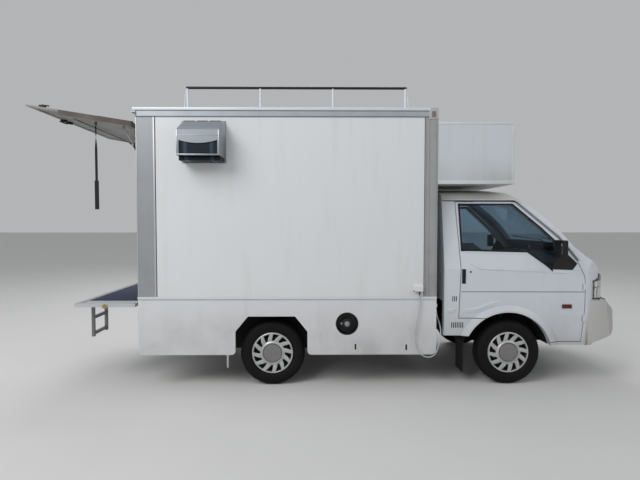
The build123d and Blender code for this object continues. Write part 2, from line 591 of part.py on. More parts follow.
# Wheel housings: moulded liners in the four wheel openings, and mud flaps behind the front wheels. The front
# ones hang from the cab, the rear ones from the skirts and the box floor.
LINER_T = 4.0
FRONT_LINER_IN = 462.0   # inner wall from the centre line
FRONT_LINER_OUT = CAB_HALF - 55.0
REAR_LINER_IN = SPRING_Y + SPRING_W / 2 + 8
KING_HOLE_R = KNUCKLE_R + 7
REAR_LINER_X0 = REAR_AXLE_X - 339.0
REAR_LINER_X1 = REAR_AXLE_X + 332.0
FLAP_LOW_Z = 60.0
MUD_FLAP_IN = KING_Y - 40
with BuildPart() as front_liners:
    for side in (-1, 1):
        middle = side * (FRONT_LINER_IN + FRONT_LINER_OUT) / 2
        depth = FRONT_LINER_OUT - FRONT_LINER_IN
        with BuildPart() as housing:
            with Locations(Location((ARCH_X, middle, ARCH_Z), (90, 0, 0))):
                Cylinder(ARCH_R, depth)
            with Locations(Location((ARCH_X, middle + side * LINER_T, ARCH_Z), (90, 0, 0))):
                Cylinder(ARCH_R - LINER_T, depth, mode=Mode.SUBTRACT)
            with Locations((FRONT_AXLE_X, side * KING_Y, TOWER_Z)):
                Cylinder(KING_HOLE_R, 2 * ARCH_R, mode=Mode.SUBTRACT)
            block(ARCH_X - 2 * ARCH_R, ARCH_X + 2 * ARCH_R, 0, side * 2 * CAB_HALF, -ARCH_R, CAB_FRONT_SILL_Z,
                  mode=Mode.SUBTRACT)
            flap_x = ARCH_X - (ARCH_R ** 2 - (CAB_FRONT_SILL_Z - ARCH_Z) ** 2) ** 0.5
            block(flap_x, flap_x + 2 * LINER_T, side * MUD_FLAP_IN, side * FRONT_LINER_OUT,
                  FLAP_LOW_Z, CAB_FRONT_SILL_Z + 1)
        add(housing.part)
save(front_liners.part, "front_liners")
with BuildPart() as rear_liners:
    for side in (-1, 1):
        block(REAR_LINER_X0, REAR_LINER_X1, side * REAR_LINER_IN, side * (REAR_LINER_IN + LINER_T),
              SPRING_LOW_Z + 3, REAR_ARCH_TOP_Z + LINER_T)
        block(REAR_LINER_X0, REAR_LINER_X1, side * REAR_LINER_IN, side * (BOX_HALF - SKIRT_T),
              REAR_ARCH_TOP_Z, REAR_ARCH_TOP_Z + LINER_T)
save(rear_liners.part, "rear_liners")

# Cab glass: curved windscreen and the flat back window
with BuildPart() as cab_glass:
    with BuildSketch(Plane.YZ.offset(SCREEN_FROM_X)):
        Polygon(*SCREEN_OUTLINE, align=None)
    extrude(amount=SCREEN_DEPTH)
    add(glass_outer, mode=Mode.INTERSECT)
    add(glass_inner, mode=Mode.SUBTRACT)
    block(CAB_REAR_X + GLASS_DEPTH, CAB_REAR_X + GLASS_DEPTH + GLASS_T, *BACK_WINDOW)
save(cab_glass.part, "cab_glass")

# Right door, its glass and its mirror; the left ones are their mirror images
MIRROR_X0 = CAB_X + 401.0
MIRROR_W = 83.0
MIRROR_Z0 = 1187.0
MIRROR_Z1 = 1334.0
MIRROR_REACH = 150.0  # the mirror's outer face from the cab's side
MIRROR_ARM = 30.0
SAIL_DEPTH = 4.0
with BuildPart() as door_right:
    add(side_prism(DOOR_OUTLINE, MOVE_GAP))
    add(cab_outside, mode=Mode.INTERSECT)
    add(cab_inside, mode=Mode.SUBTRACT)
    add(arch_drum(), mode=Mode.SUBTRACT)
    add(side_prism(WINDOW_OUTLINE), mode=Mode.SUBTRACT)
    add(side_prism(SAIL_OUTLINE), mode=Mode.SUBTRACT)
    for hinge_z in DOOR_HINGE_ZS:
        block(DOOR_AXIS_X - 2 * DOOR_HINGE_R, DOOR_AXIS_X + 40, -CAB_HALF - 10, -CAB_HALF + 2 * CAB_WALL,
              hinge_z, hinge_z + DOOR_HINGE_H, mode=Mode.SUBTRACT)
with BuildPart() as door_glass_right:
    add(side_prism(WINDOW_OUTLINE))
    add(glass_outer, mode=Mode.INTERSECT)
    add(glass_inner, mode=Mode.SUBTRACT)
with BuildPart() as door_mirror_right:
    add(side_prism(SAIL_OUTLINE))
    add(cab_form(SAIL_DEPTH), mode=Mode.INTERSECT)
    add(glass_inner, mode=Mode.SUBTRACT)
    block(MIRROR_X0, MIRROR_X0 + MIRROR_W, -CAB_HALF - MIRROR_REACH, -CAB_HALF - 20, MIRROR_Z0, MIRROR_Z1)
    fillet(door_mirror_right.edges().filter_by(Axis.Z).group_by(Axis.Y)[0], 30)
    block(MIRROR_X0 + MIRROR_W - 2, MIRROR_X0 + MIRROR_W + MIRROR_ARM + 4, -CAB_HALF - 40, -CAB_HALF + 40,
          MIRROR_Z0, MIRROR_Z0 + MIRROR_ARM)
DOOR_FORMS = (("door", door_right), ("door_glass", door_glass_right), ("door_mirror", door_mirror_right))
for base, form in DOOR_FORMS:
    save(form.part, f"{base}_right")
    with BuildPart() as twin:
        add(mirror(form.part, about=Plane.XZ, mode=Mode.PRIVATE))
    save(twin.part, f"{base}_left")

# Dashboard, seats and steering wheel seen through the glass
DASH_Z0 = 850.0
DASH_Z1 = 1180.0
DASH_X = CAB_X + 456.0
with BuildPart() as dashboard:
    add(cross_prism((
        (DASH_X, DASH_Z1 - 70), (DASH_X + 100, DASH_Z1), (DASH_X + 250, DASH_Z1),
        (BULKHEAD_X - 1, DASH_Z1 - 60),
        (BULKHEAD_X - 1, DASH_Z0), (DASH_X + 130, DASH_Z0),
    ), SCREEN_HALF))
    add(room.part, mode=Mode.INTERSECT)
save(dashboard.part, "dashboard")
SEAT_BACK_X = CAB_REAR_X + 88.0
SEAT_BACK_T = 110.0
SEAT_L = 500.0
SEAT_H = 130.0
SEAT_BACK_Z = DECK_Z + 690.0
SEAT_ROWS = (
    # middle y, half width
    (-385.0, 250.0),
    (310.0, 330.0),
)
with BuildPart() as seats:
    for seat_y, half in SEAT_ROWS:
        block(SEAT_BACK_X + SEAT_BACK_T, SEAT_BACK_X + SEAT_BACK_T + SEAT_L, seat_y - half, seat_y + half,
              DECK_Z, DECK_Z + SEAT_H)
        block(SEAT_BACK_X, SEAT_BACK_X + SEAT_BACK_T, seat_y - half, seat_y + half, DECK_Z, SEAT_BACK_Z)
save(seats.part, "seats")
STEERING_HUB = (CAB_X + 266.0, -360.0, 1130.0)
STEERING_R = 190.0
STEERING_GRIP = 22.0
COLUMN_LEAN = 50.0
COLUMN_R = 25.0
with BuildPart() as steering_wheel:
    lean = Vector(-cos(radians(COLUMN_LEAN)), 0, sin(radians(COLUMN_LEAN)))
    with BuildSketch(Plane(origin=STEERING_HUB, x_dir=(0, 1, 0), z_dir=lean)):
        Circle(STEERING_R)
        Circle(STEERING_R - STEERING_GRIP, mode=Mode.SUBTRACT)
        Rectangle(2 * STEERING_R - 30, 36)
        Circle(60)
    extrude(amount=24)
    column_drop = STEERING_HUB[2] - FOOTWELL_Z - COLUMN_R * cos(radians(COLUMN_LEAN)) - PIN_GAP
    foot = Vector(*STEERING_HUB) - lean * (column_drop / sin(radians(COLUMN_LEAN)))
    bar(STEERING_HUB, tuple(foot), COLUMN_R)
save(steering_wheel.part, "steering_wheel")

# Headlamps on the nose corners, above the bumper
BUMPER_TOP_Z = 760.0
LAMP_X0 = CAB_X + 812.0
LAMP_IN = CAB_HALF - 430.0
LAMP_Z0 = BUMPER_TOP_Z + 10.0
LAMP_Z1 = 948.0
LAMP_OUT = 8.5       # how far the lens stands out of the nose
with BuildPart() as headlamps:
    for side in (-1, 1):
        block(LAMP_X0, LAMP_X0 + 300, side * LAMP_IN, side * (CAB_HALF + 70), LAMP_Z0, LAMP_Z1)
    add(cab_form(-LAMP_OUT), mode=Mode.INTERSECT)
    add(cab_outside, mode=Mode.SUBTRACT)
save(headlamps.part, "headlamps")

# Front bumper: deep moulding round the nose, its underside rising to the front
BUMPER_REAR = 748.0  # these are measured from CAB_X
BUMPER_FRONT = 1120.0
BUMPER_BELLY_Z = 560.0
with BuildPart() as front_bumper:
    with BuildSketch(side_plane) as profile:
        with BuildLine():
            Polyline((BUMPER_REAR, CAB_FRONT_SILL_Z - 10), (BUMPER_REAR + 98, CAB_FRONT_SILL_Z - 12),
                     (BUMPER_FRONT - 94, CAB_FRONT_SILL_Z + 70))
            ThreePointArc((BUMPER_FRONT - 94, CAB_FRONT_SILL_Z + 70),
                          (BUMPER_FRONT - 16, BUMPER_BELLY_Z - 90), (BUMPER_FRONT, BUMPER_BELLY_Z))
            ThreePointArc((BUMPER_FRONT, BUMPER_BELLY_Z), (BUMPER_FRONT - 18, BUMPER_TOP_Z - 84),
                          (BUMPER_FRONT - 62, BUMPER_TOP_Z))
            Polyline((BUMPER_FRONT - 62, BUMPER_TOP_Z), (BUMPER_REAR, BUMPER_TOP_Z),
                     (BUMPER_REAR, CAB_FRONT_SILL_Z - 10))
        make_face()
    revolve(profile.sketch, axis=nose_axis, revolution_arc=NOSE_SWEEP)
    mirror(about=Plane.XZ)
    with BuildSketch(plan_plane) as plan:
        with BuildLine():
            Polyline((BUMPER_REAR, 0), (BUMPER_REAR, CAB_HALF - 4))
            ThreePointArc((BUMPER_REAR, CAB_HALF - 4), (BUMPER_FRONT - 152, CAB_HALF - 60),
                          (BUMPER_FRONT - 52, CAB_HALF - 240))
            Polyline((BUMPER_FRONT - 52, CAB_HALF - 240), (BUMPER_FRONT + 86, 0), (BUMPER_REAR, 0))
        make_face()
        mirror(about=Plane.XZ)
    extrude(plan.sketch, amount=CAB_ROOF_Z, mode=Mode.INTERSECT)
    add(cab_form(0), mode=Mode.SUBTRACT)
save(front_bumper.part, "front_bumper")

# Box floor on two long bearers that rest on the rails
with BuildPart() as box_floor:
    block(BOX_REAR_X + SILL_T, BOX_FRONT_X - WALL, SKIRT_T - BOX_HALF, BOX_HALF - SKIRT_T,
          FLOOR_TOP - FLOOR_T, FLOOR_TOP)
    for side in (-1, 1):
        block(BOX_REAR_X + SILL_T, BOX_FRONT_X - WALL, side * RAIL_IN, side * RAIL_OUT,
              RAIL_TOP, FLOOR_TOP - FLOOR_T)
save(box_floor.part, "box_floor")

# Side walls between the corner posts; the left one has the serving opening and its hinge lugs
SERVE_X0 = BOX_REAR_X + 863.0
SERVE_X1 = BOX_FRONT_X - 506.0
SERVE_Z0 = FLOOR_TOP + 405.0
SERVE_Z1 = BOX_TOP - 495.0
HATCH_LAP = 30.0
HATCH_T = 30.0
HATCH_Y = BOX_HALF + 6.0
HATCH_AXIS_Y = HATCH_Y + HATCH_T / 2
HATCH_AXIS_Z = SERVE_Z1 + HATCH_LAP + 10
SHELF_T = 25.0
SHELF_Z = SERVE_Z0 - 90.0
SHELF_AXIS_Y = BOX_HALF + 20.0
SHELF_OUT = BOX_HALF + 230.0
LUG_W = 20.0
LUG_AXES = (
    # y, z of the shelf's and the hatch's hinge lines
    (SHELF_AXIS_Y, SHELF_Z + SHELF_T / 2),
    (HATCH_AXIS_Y, HATCH_AXIS_Z),
)
with BuildPart() as box_wall_right:
    block(BOX_REAR_X + REAR_POST_W, BOX_FRONT_X - FRONT_POST_W, -BOX_HALF, WALL - BOX_HALF, BELT_Z, WALL_TOP)
save(box_wall_right.part, "box_wall_right")
with BuildPart() as box_wall_left:
    block(BOX_REAR_X + REAR_POST_W, BOX_FRONT_X - FRONT_POST_W, BOX_HALF - WALL, BOX_HALF, BELT_Z, WALL_TOP)
    block(SERVE_X0, SERVE_X1, BOX_HALF - WALL - 5, BOX_HALF + 5, SERVE_Z0, SERVE_Z1, mode=Mode.SUBTRACT)
    for lug_x in (SERVE_X0 - HATCH_LAP - PIN_GAP - LUG_W, SERVE_X1 + HATCH_LAP + PIN_GAP):
        for lug_y, lug_z in LUG_AXES:
            block(lug_x, lug_x + LUG_W, BOX_HALF - 1, lug_y + HINGE_R, lug_z - HINGE_R, lug_z + HINGE_R)
save(box_wall_left.part, "box_wall_left")

# Serving hatch, hinged at its top edge
with BuildPart() as serving_hatch:
    block(SERVE_X0 - HATCH_LAP, SERVE_X1 + HATCH_LAP, HATCH_Y, HATCH_Y + HATCH_T,
          SERVE_Z0 - HATCH_LAP, SERVE_Z1 + HATCH_LAP)
    bar((SERVE_X0 - HATCH_LAP, HATCH_AXIS_Y, HATCH_AXIS_Z),
        (SERVE_X1 + HATCH_LAP, HATCH_AXIS_Y, HATCH_AXIS_Z), HINGE_R + 2)
save(serving_hatch.part, "serving_hatch")

# Counter shelf below it, round along its hinged edge
with BuildPart() as counter_shelf:
    block(SERVE_X0 - HATCH_LAP, SERVE_X1 + HATCH_LAP, SHELF_AXIS_Y, SHELF_OUT, SHELF_Z, SHELF_Z + SHELF_T)
    fillet(counter_shelf.edges().filter_by(Axis.Z).group_by(Axis.Y)[-1], 40)
    bar((SERVE_X0 - HATCH_LAP, SHELF_AXIS_Y, SHELF_Z + SHELF_T / 2),
        (SERVE_X1 + HATCH_LAP, SHELF_AXIS_Y, SHELF_Z + SHELF_T / 2), SHELF_T / 2)
save(counter_shelf.part, "counter_shelf")

# Front wall with its grey corner posts, and a gland where the power lead goes back in
GLAND = (BOX_FRONT_X + 16, 80 - BOX_HALF, 700.0)
GLAND_R = 12.0
GLAND_L = 26.0
FRONT_WALL_Z = 600.0
with BuildPart() as box_front_wall:
    block(BOX_FRONT_X - WALL, BOX_FRONT_X, SKIRT_T - BOX_HALF, BOX_HALF - SKIRT_T,
          FRONT_WALL_Z, BELT_Z - BELT_T)
    block(BOX_FRONT_X - WALL, BOX_FRONT_X, WALL - BOX_HALF, BOX_HALF - WALL, BELT_Z - BELT_T, WALL_TOP)
    for side in (-1, 1):
        block(BOX_FRONT_X - FRONT_POST_W, BOX_FRONT_X, side * (BOX_HALF - POST_T), side * BOX_HALF,
              BELT_Z, WALL_TOP)
    bar(GLAND, (GLAND[0], GLAND[1], GLAND[2] + GLAND_L), GLAND_R)
    block(BOX_FRONT_X - 1, GLAND[0], GLAND[1] - GLAND_R, GLAND[1] + GLAND_R, GLAND[2] + 4, GLAND[2] + GLAND_L)
save(box_front_wall.part, "box_front_wall")

# Rear frame: posts, header with the flap's hinge lugs, sill with the gate's hinge lugs
STRUT_Y = BOX_HALF - 80.0
TUBE_R = 11.0
TUBE_Y = STRUT_Y - 24.0
STRUT_FOOT = (BOX_REAR_X + 73, BOX_TOP - 555)
FOOT_PIN_R = 5.0
LUG_ROOT = 6.0
REAR_LUGS = (
    # hinge x, hinge z, height of the lug's root on the frame
    (FLAP_HINGE_X, FLAP_HINGE_Z, WALL_TOP - HEADER_H + 12),
    (GATE_HINGE_X, GATE_HINGE_Z, GATE_HINGE_Z),
)
with BuildPart() as box_rear_frame:
    for side in (-1, 1):
        post_in = side * (BOX_HALF - POST_T)
        block(BOX_REAR_X, BOX_REAR_X + REAR_POST_W, post_in, side * BOX_HALF, BELT_Z, WALL_TOP)
        block(BOX_REAR_X, BOX_REAR_X + SILL_T, post_in, side * (BOX_HALF - SKIRT_T), SILL_Z, BELT_Z - BELT_T)
        block(BOX_REAR_X, BOX_REAR_X + SILL_T, post_in, side * (BOX_HALF - WALL), BELT_Z - BELT_T, BELT_Z)
        bar((STRUT_FOOT[0], post_in, STRUT_FOOT[1]),
            (STRUT_FOOT[0], side * (TUBE_Y + TUBE_R + PIN_GAP), STRUT_FOOT[1]), FOOT_PIN_R)
    block(BOX_REAR_X, BOX_REAR_X + POST_T, POST_T - BOX_HALF, BOX_HALF - POST_T,
          WALL_TOP - HEADER_H, WALL_TOP)
    block(BOX_REAR_X, BOX_REAR_X + SILL_T, POST_T - BOX_HALF, BOX_HALF - POST_T, SILL_Z, FLOOR_TOP)
    for lug_y in (-KNUCKLE_Y, KNUCKLE_Y):
        for axis_x, axis_z, root_z in REAR_LUGS:
            bar((axis_x, lug_y, axis_z), (axis_x, lug_y + KNUCKLE_W, axis_z), HINGE_R)
            block(axis_x, BOX_REAR_X + 1, lug_y, lug_y + KNUCKLE_W, axis_z - HINGE_R, axis_z + HINGE_R)
            block(BOX_REAR_X - LUG_ROOT, BOX_REAR_X + 1, lug_y, lug_y + KNUCKLE_W,
                  axis_z - HINGE_R, root_z + HINGE_R)
save(box_rear_frame.part, "box_rear_frame")

# Roof panel and the metal moulding round its edge, with a drip visor over the rear doorway
MOULDING_T = 12.0
MOULDING_OUT = 6.0
ROOF_DROP = 5.0      # roof panel below the moulding's top
VISOR_OUT = 37.0
VISOR_Z = WALL_TOP + 40.0
with BuildPart() as box_roof:
    block(BOX_REAR_X + MOULDING_T, BOX_FRONT_X - MOULDING_T, MOULDING_T - BOX_HALF, BOX_HALF - MOULDING_T,
          WALL_TOP, BOX_TOP - ROOF_DROP)
save(box_roof.part, "box_roof")
with BuildPart() as roof_moulding:
    block(BOX_REAR_X, BOX_FRONT_X, -BOX_HALF - MOULDING_OUT, BOX_HALF + MOULDING_OUT, WALL_TOP, BOX_TOP)
    block(BOX_REAR_X + MOULDING_T, BOX_FRONT_X - MOULDING_T, MOULDING_T - BOX_HALF, BOX_HALF - MOULDING_T,
          WALL_TOP - 1, BOX_TOP + 1, mode=Mode.SUBTRACT)
    block(BOX_REAR_X - VISOR_OUT, BOX_REAR_X, -BOX_HALF - MOULDING_OUT, BOX_HALF + MOULDING_OUT,
          VISOR_Z, VISOR_Z + MOULDING_T)
save(roof_moulding.part, "roof_moulding")

# Skirts below the belt ledge, with the rear wheel openings
SKIRT_CORNER_R = 45.0
ARCH_CORNER_R = 38.0
ARCH_SIDE_Z = AXLE_Z + 220.0
REAR_ARCH = (
    # x, z
    (REAR_AXLE_X - 339, SKIRT_Z - 5), (REAR_AXLE_X - 339, ARCH_SIDE_Z), (REAR_AXLE_X - 221, REAR_ARCH_TOP_Z),
    (REAR_AXLE_X + 217, REAR_ARCH_TOP_Z), (REAR_AXLE_X + 332, ARCH_SIDE_Z), (REAR_AXLE_X + 332, SKIRT_Z - 5),
)
with BuildPart() as box_skirts:
    for side in (-1, 1):
        with BuildSketch(Plane.XZ.offset(BOX_HALF - SKIRT_T if side < 0 else -BOX_HALF)) as skirt:
            with BuildLine():
                Polyline((BOX_REAR_X, SKIRT_Z), (BOX_FRONT_X, SKIRT_Z), (BOX_FRONT_X, BELT_Z - BELT_T),
                         (BOX_REAR_X, BELT_Z - BELT_T), close=True)
            skirt_face = make_face()
            fillet(skirt_face.vertices().group_by(Axis.Y)[0], SKIRT_CORNER_R)
            Polygon(*REAR_ARCH, align=None, mode=Mode.SUBTRACT)
            fillet(skirt.vertices().group_by(Axis.Y)[0].sort_by(Axis.X)[1:3], ARCH_CORNER_R)
            if side < 0:
                with Locations((FILLER_X, FILLER_Z)):
                    Circle(FILLER_R, mode=Mode.SUBTRACT)
        extrude(amount=SKIRT_T)
        block(BOX_REAR_X, BOX_FRONT_X, side * (BOX_HALF - WALL), side * (BOX_HALF + BELT_OUT),
              BELT_Z - BELT_T, BELT_Z)
save(box_skirts.part, "box_skirts")

# Roof rails: a round bar on four posts each side
ROOF_RAIL_Z = BOX_TOP + 216.0
ROOF_RAIL_Y = BOX_HALF - 80.0
ROOF_RAIL_R = 12.0
ROOF_RAIL_END = 12.0  # how far the bar runs past its end posts
ROOF_POST_R = 10.0
ROOF_POST_REAR_X = BOX_REAR_X + 440.0
ROOF_POST_FRONT_X = BOX_FRONT_X - 271.0
ROOF_POSTS = 4
with BuildPart() as roof_rails:
    for side in (-1, 1):
        bar((ROOF_POST_REAR_X - ROOF_RAIL_END, side * ROOF_RAIL_Y, ROOF_RAIL_Z),
            (ROOF_POST_FRONT_X + ROOF_RAIL_END, side * ROOF_RAIL_Y, ROOF_RAIL_Z), ROOF_RAIL_R)
        for i in range(ROOF_POSTS):
            post_x = ROOF_POST_REAR_X + (ROOF_POST_FRONT_X - ROOF_POST_REAR_X) * i / (ROOF_POSTS - 1)
            bar((post_x, side * ROOF_RAIL_Y, BOX_TOP - ROOF_DROP), (post_x, side * ROOF_RAIL_Y, ROOF_RAIL_Z),
                ROOF_POST_R)
save(roof_rails.part, "roof_rails")

# Closed locker over the cab, bolted to the front wall
OVER_FRONT_X = BOX_FRONT_X + 709.0
OVER_Z0 = CAB_ROOF_Z + 15.0
OVER_Z1 = BOX_TOP - 124.0
OVER_CORNER_R = 12.0
with BuildPart() as over_cab_box:
    block(BOX_FRONT_X, OVER_FRONT_X, -BOX_HALF, BOX_HALF, OVER_Z0, OVER_Z1)
    fillet(over_cab_box.edges().filter_by(Axis.Z).group_by(Axis.X)[-1], OVER_CORNER_R)
save(over_cab_box.part, "over_cab_box")

# Vent cowl: a folded sheet hood, open below and through a mouth in its face, on a wall flange
COWL_X0 = BOX_REAR_X + 434.0
COWL_X1 = COWL_X0 + 376.0
COWL_OUT = 230.0
COWL_TOP = BOX_TOP - 122.0
COWL_FACE_TOP = BOX_TOP - 240.0
COWL_LIP = BOX_TOP - 462.0
COWL_T = 4.0
COWL_MOUTH_Z = BOX_TOP - 330.0  # upper corners of the mouth in the hood's face
MOUTH_IN = 20.0
FLANGE_Z = BOX_TOP - 505.0
FLANGE_LAP = 15.0
with BuildPart() as vent_cowl:
    with BuildSketch(Plane.YZ.offset(COWL_X0)):
        Polygon((-BOX_HALF, COWL_TOP), (-BOX_HALF, COWL_LIP), (-BOX_HALF - COWL_OUT, COWL_LIP),
                (-BOX_HALF - COWL_OUT, COWL_FACE_TOP), align=None)
    extrude(amount=COWL_X1 - COWL_X0)
    with BuildSketch(Plane.YZ.offset(COWL_X0 + COWL_T)):
        Polygon((-BOX_HALF - COWL_T, COWL_TOP - 3 * COWL_T), (-BOX_HALF - COWL_T, COWL_LIP - 1),
                (-BOX_HALF - COWL_OUT + COWL_T, COWL_LIP - 1),
                (-BOX_HALF - COWL_OUT + COWL_T, COWL_FACE_TOP - COWL_T), align=None)
    extrude(amount=COWL_X1 - COWL_X0 - 2 * COWL_T, mode=Mode.SUBTRACT)
    with BuildSketch(Plane.XZ.offset(BOX_HALF + COWL_OUT - 2 * COWL_T)):
        with BuildLine():
            Polyline((COWL_X0 + MOUTH_IN, COWL_MOUTH_Z), (COWL_X0 + MOUTH_IN, COWL_LIP + 10),
                     (COWL_X1 - MOUTH_IN, COWL_LIP + 10), (COWL_X1 - MOUTH_IN, COWL_MOUTH_Z))
            ThreePointArc((COWL_X1 - MOUTH_IN, COWL_MOUTH_Z), ((COWL_X0 + COWL_X1) / 2, COWL_MOUTH_Z - 26),
                          (COWL_X0 + MOUTH_IN, COWL_MOUTH_Z))
        make_face()
    extrude(amount=3 * COWL_T, mode=Mode.SUBTRACT)
    block(COWL_X0 - FLANGE_LAP, COWL_X1 + FLANGE_LAP, -BOX_HALF - COWL_T, -BOX_HALF, FLANGE_Z, COWL_TOP)
save(vent_cowl.part, "vent_cowl")

# Power inlet and its lead, which hangs in a loop and goes back in through the gland
INLET_X0 = BOX_FRONT_X - 210.0
INLET_X1 = BOX_FRONT_X - 133.0
INLET_Z0 = BELT_Z + 52.0
INLET_Z1 = BELT_Z + 110.0
INLET_OUT = 45.0
INLET_R = 25.0
LEAD_R = 5.0
LEAD_ROUTE = (
    # x, y, z
    (844, -902, INLET_Z0), (846, -903, 772), (838, -904, 661), (808, -903, 526), (799, -902, 403),
    (821, -901, 316), (869, -900, 261), (931, -898, 239), (981, -896, 255), (1012, -893, 298),
    (1031, -889, 366), (1048, -876, 430), (1056, -852, 492), (1048, -826, 552), (1032, -807, 608),
    (GLAND[0], GLAND[1], 656), GLAND,
)


def route_radii(points):
    """The largest arc that each turn of a route leaves room for."""
    radii = []
    for before, here, after in zip(points, points[1:], points[2:]):
        run_in = Vector(*here) - Vector(*before)
        run_out = Vector(*after) - Vector(*here)
        turn = radians(run_in.get_angle(run_out))
        radii.append(0.45 * min(run_in.length, run_out.length) * cos(turn / 2) / sin(turn / 2))
    return radii


with BuildPart() as power_inlet:
    block(INLET_X0, INLET_X1, -BOX_HALF - INLET_OUT, -BOX_HALF, INLET_Z0, INLET_Z1)
    fillet(power_inlet.edges().filter_by(Axis.X).group_by(Axis.Y)[0].sort_by(Axis.Z)[-1], INLET_R)
save(power_inlet.part, "power_inlet")
lead_radii = route_radii(LEAD_ROUTE)
with BuildPart() as power_lead:
    with BuildLine() as lead_line:
        FilletPolyline(*LEAD_ROUTE, radius=lead_radii)
    with BuildSketch(Plane(origin=LEAD_ROUTE[0], z_dir=(0, 0, -1))):
        Circle(LEAD_R)
    sweep()
save(power_lead.part, "power_lead")

# Rear lamps on the sill under the gate
LAMP_BOX_IN = BOX_HALF - 320.0
LAMP_BOX_W = 230.0
LAMP_BOX_H = 90.0
LAMP_BOX_D = 35.0
with BuildPart() as rear_lamps:
    for side in (-1, 1):
        block(BOX_REAR_X - LAMP_BOX_D, BOX_REAR_X, side * LAMP_BOX_IN, side * (LAMP_BOX_IN + LAMP_BOX_W),
              SILL_Z + 10, SILL_Z + 10 + LAMP_BOX_H)
save(rear_lamps.part, "rear_lamps")

# Freezer cabinet along the right wall
FREEZER_X0 = BOX_FRONT_X - 1426.0
FREEZER_L = 1200.0
FREEZER_W = 590.0
FREEZER_H = 880.0
FREEZER_R = 25.0
with BuildPart() as freezer_cabinet:
    block(FREEZER_X0, FREEZER_X0 + FREEZER_L, WALL - BOX_HALF, WALL - BOX_HALF + FREEZER_W,
          FLOOR_TOP, FLOOR_TOP + FREEZER_H)
    fillet(freezer_cabinet.edges().filter_by(Axis.Z).group_by(Axis.Y)[-1], FREEZER_R)
save(freezer_cabinet.part, "freezer_cabinet")

# Rear flap: a framed panel that stands open just above level, modelled flat along -X and then lifted
flap_place = Location((FLAP_HINGE_X, 0, FLAP_HINGE_Z), (0, FLAP_LIFT, 0))
FLAP_RIM_X = 55.0    # width of the frame at the hinge and at the free edge
FLAP_RIM_Y = 100.0
FLAP_RECESS = 18.0
STRAP_ALONG = 375.0  # from the hinge to the strap's bar
STRAP_DROP = 45.0    # and below the flap's middle plane
STRAP_Y = 110 - BOX_HALF
STRAP_W = 42.0
STRAP_BAR_R = 5.0
STRAP_BAR_L = STRAP_W + 4
STRUT_ALONG = 106.0
STRUT_DROP = 40.0
LUG_HALF_T = 4.0
ROD_LUG_Y = STRUT_Y - 9.0
flap_middle = -(FLAP_EDGE_GAP + FLAP_LENGTH) / 2
knuckle_shift = KNUCKLE_W * 1.5 + PIN_GAP
with BuildPart() as rear_flap:
    with Locations(flap_place):
        with Locations((flap_middle, 0, 0)):
            Box(FLAP_LENGTH - FLAP_EDGE_GAP, 2 * FLAP_HALF, FLAP_T)
        with Locations((flap_middle, 0, -FLAP_T / 2)):
            Box(FLAP_LENGTH - FLAP_EDGE_GAP - 2 * FLAP_RIM_X, 2 * (FLAP_HALF - FLAP_RIM_Y), 2 * FLAP_RECESS,
                mode=Mode.SUBTRACT)
        for lug_y in (-KNUCKLE_Y, KNUCKLE_Y):
            with Locations((0, lug_y + knuckle_shift, 0)):
                Cylinder(HINGE_R, KNUCKLE_W, rotation=(90, 0, 0))
            with Locations((-FLAP_EDGE_GAP / 2 - 2, lug_y + knuckle_shift, 0)):
                Box(FLAP_EDGE_GAP + 4, KNUCKLE_W, 2 * HINGE_R)
        with Locations((-STRAP_ALONG, STRAP_Y, -(FLAP_T / 2 + STRAP_DROP) / 2)):
            Box(STRAP_BAR_R, STRAP_BAR_L, STRAP_DROP - FLAP_T / 2)
        with Locations((-STRAP_ALONG, STRAP_Y, -STRAP_DROP)):
            Cylinder(STRAP_BAR_R, STRAP_BAR_L, rotation=(90, 0, 0))
        for side in (-1, 1):
            with Locations((-STRUT_ALONG, side * ROD_LUG_Y, -(FLAP_T / 2 + STRUT_DROP) / 2)):
                Box(4 * LUG_HALF_T, 2 * LUG_HALF_T, STRUT_DROP - FLAP_T / 2 + 10)
save(rear_flap.part, "rear_flap")


def flap_point(along, drop):
    """Where a point of the flap lies as it stands open: x and z."""
    lift = radians(FLAP_LIFT)
    return (
        FLAP_HINGE_X - along * cos(lift) - drop * sin(lift),
        FLAP_HINGE_Z + along * sin(lift) - drop * cos(lift),
    )


# Gas struts: tubes on the posts, rods that slide in them and reach the flap
TUBE_LENGTH = 262.0
TUBE_BORE = 5.1
BORE_FLOOR = 40.0
ROD_R = 5.0
ROD_FOOT = 200.0     # where the rod's inner end lies, up from the tube's foot
ROD_SHORT = 14.0     # the rod stops this far before its bracket
strut_head = flap_point(STRUT_ALONG, STRUT_DROP)
strut_run = Vector(strut_head[0] - STRUT_FOOT[0], 0, strut_head[1] - STRUT_FOOT[1])
strut_way = strut_run.normalized()
with BuildPart() as strut_tubes:
    for side in (-1, 1):
        foot = Vector(STRUT_FOOT[0], side * TUBE_Y, STRUT_FOOT[1])
        mouth = foot + strut_way * TUBE_LENGTH
        bar(tuple(foot), tuple(mouth), TUBE_R)
        bar(tuple(foot + strut_way * BORE_FLOOR), tuple(mouth + strut_way), TUBE_BORE, mode=Mode.SUBTRACT)
save(strut_tubes.part, "strut_tubes")
with BuildPart() as strut_rods:
    for side in (-1, 1):
        foot = Vector(STRUT_FOOT[0], side * TUBE_Y, STRUT_FOOT[1])
        bar(tuple(foot + strut_way * ROD_FOOT),
            tuple(foot + strut_way * (strut_run.length - ROD_SHORT)), ROD_R)
save(strut_rods.part, "strut_rods")

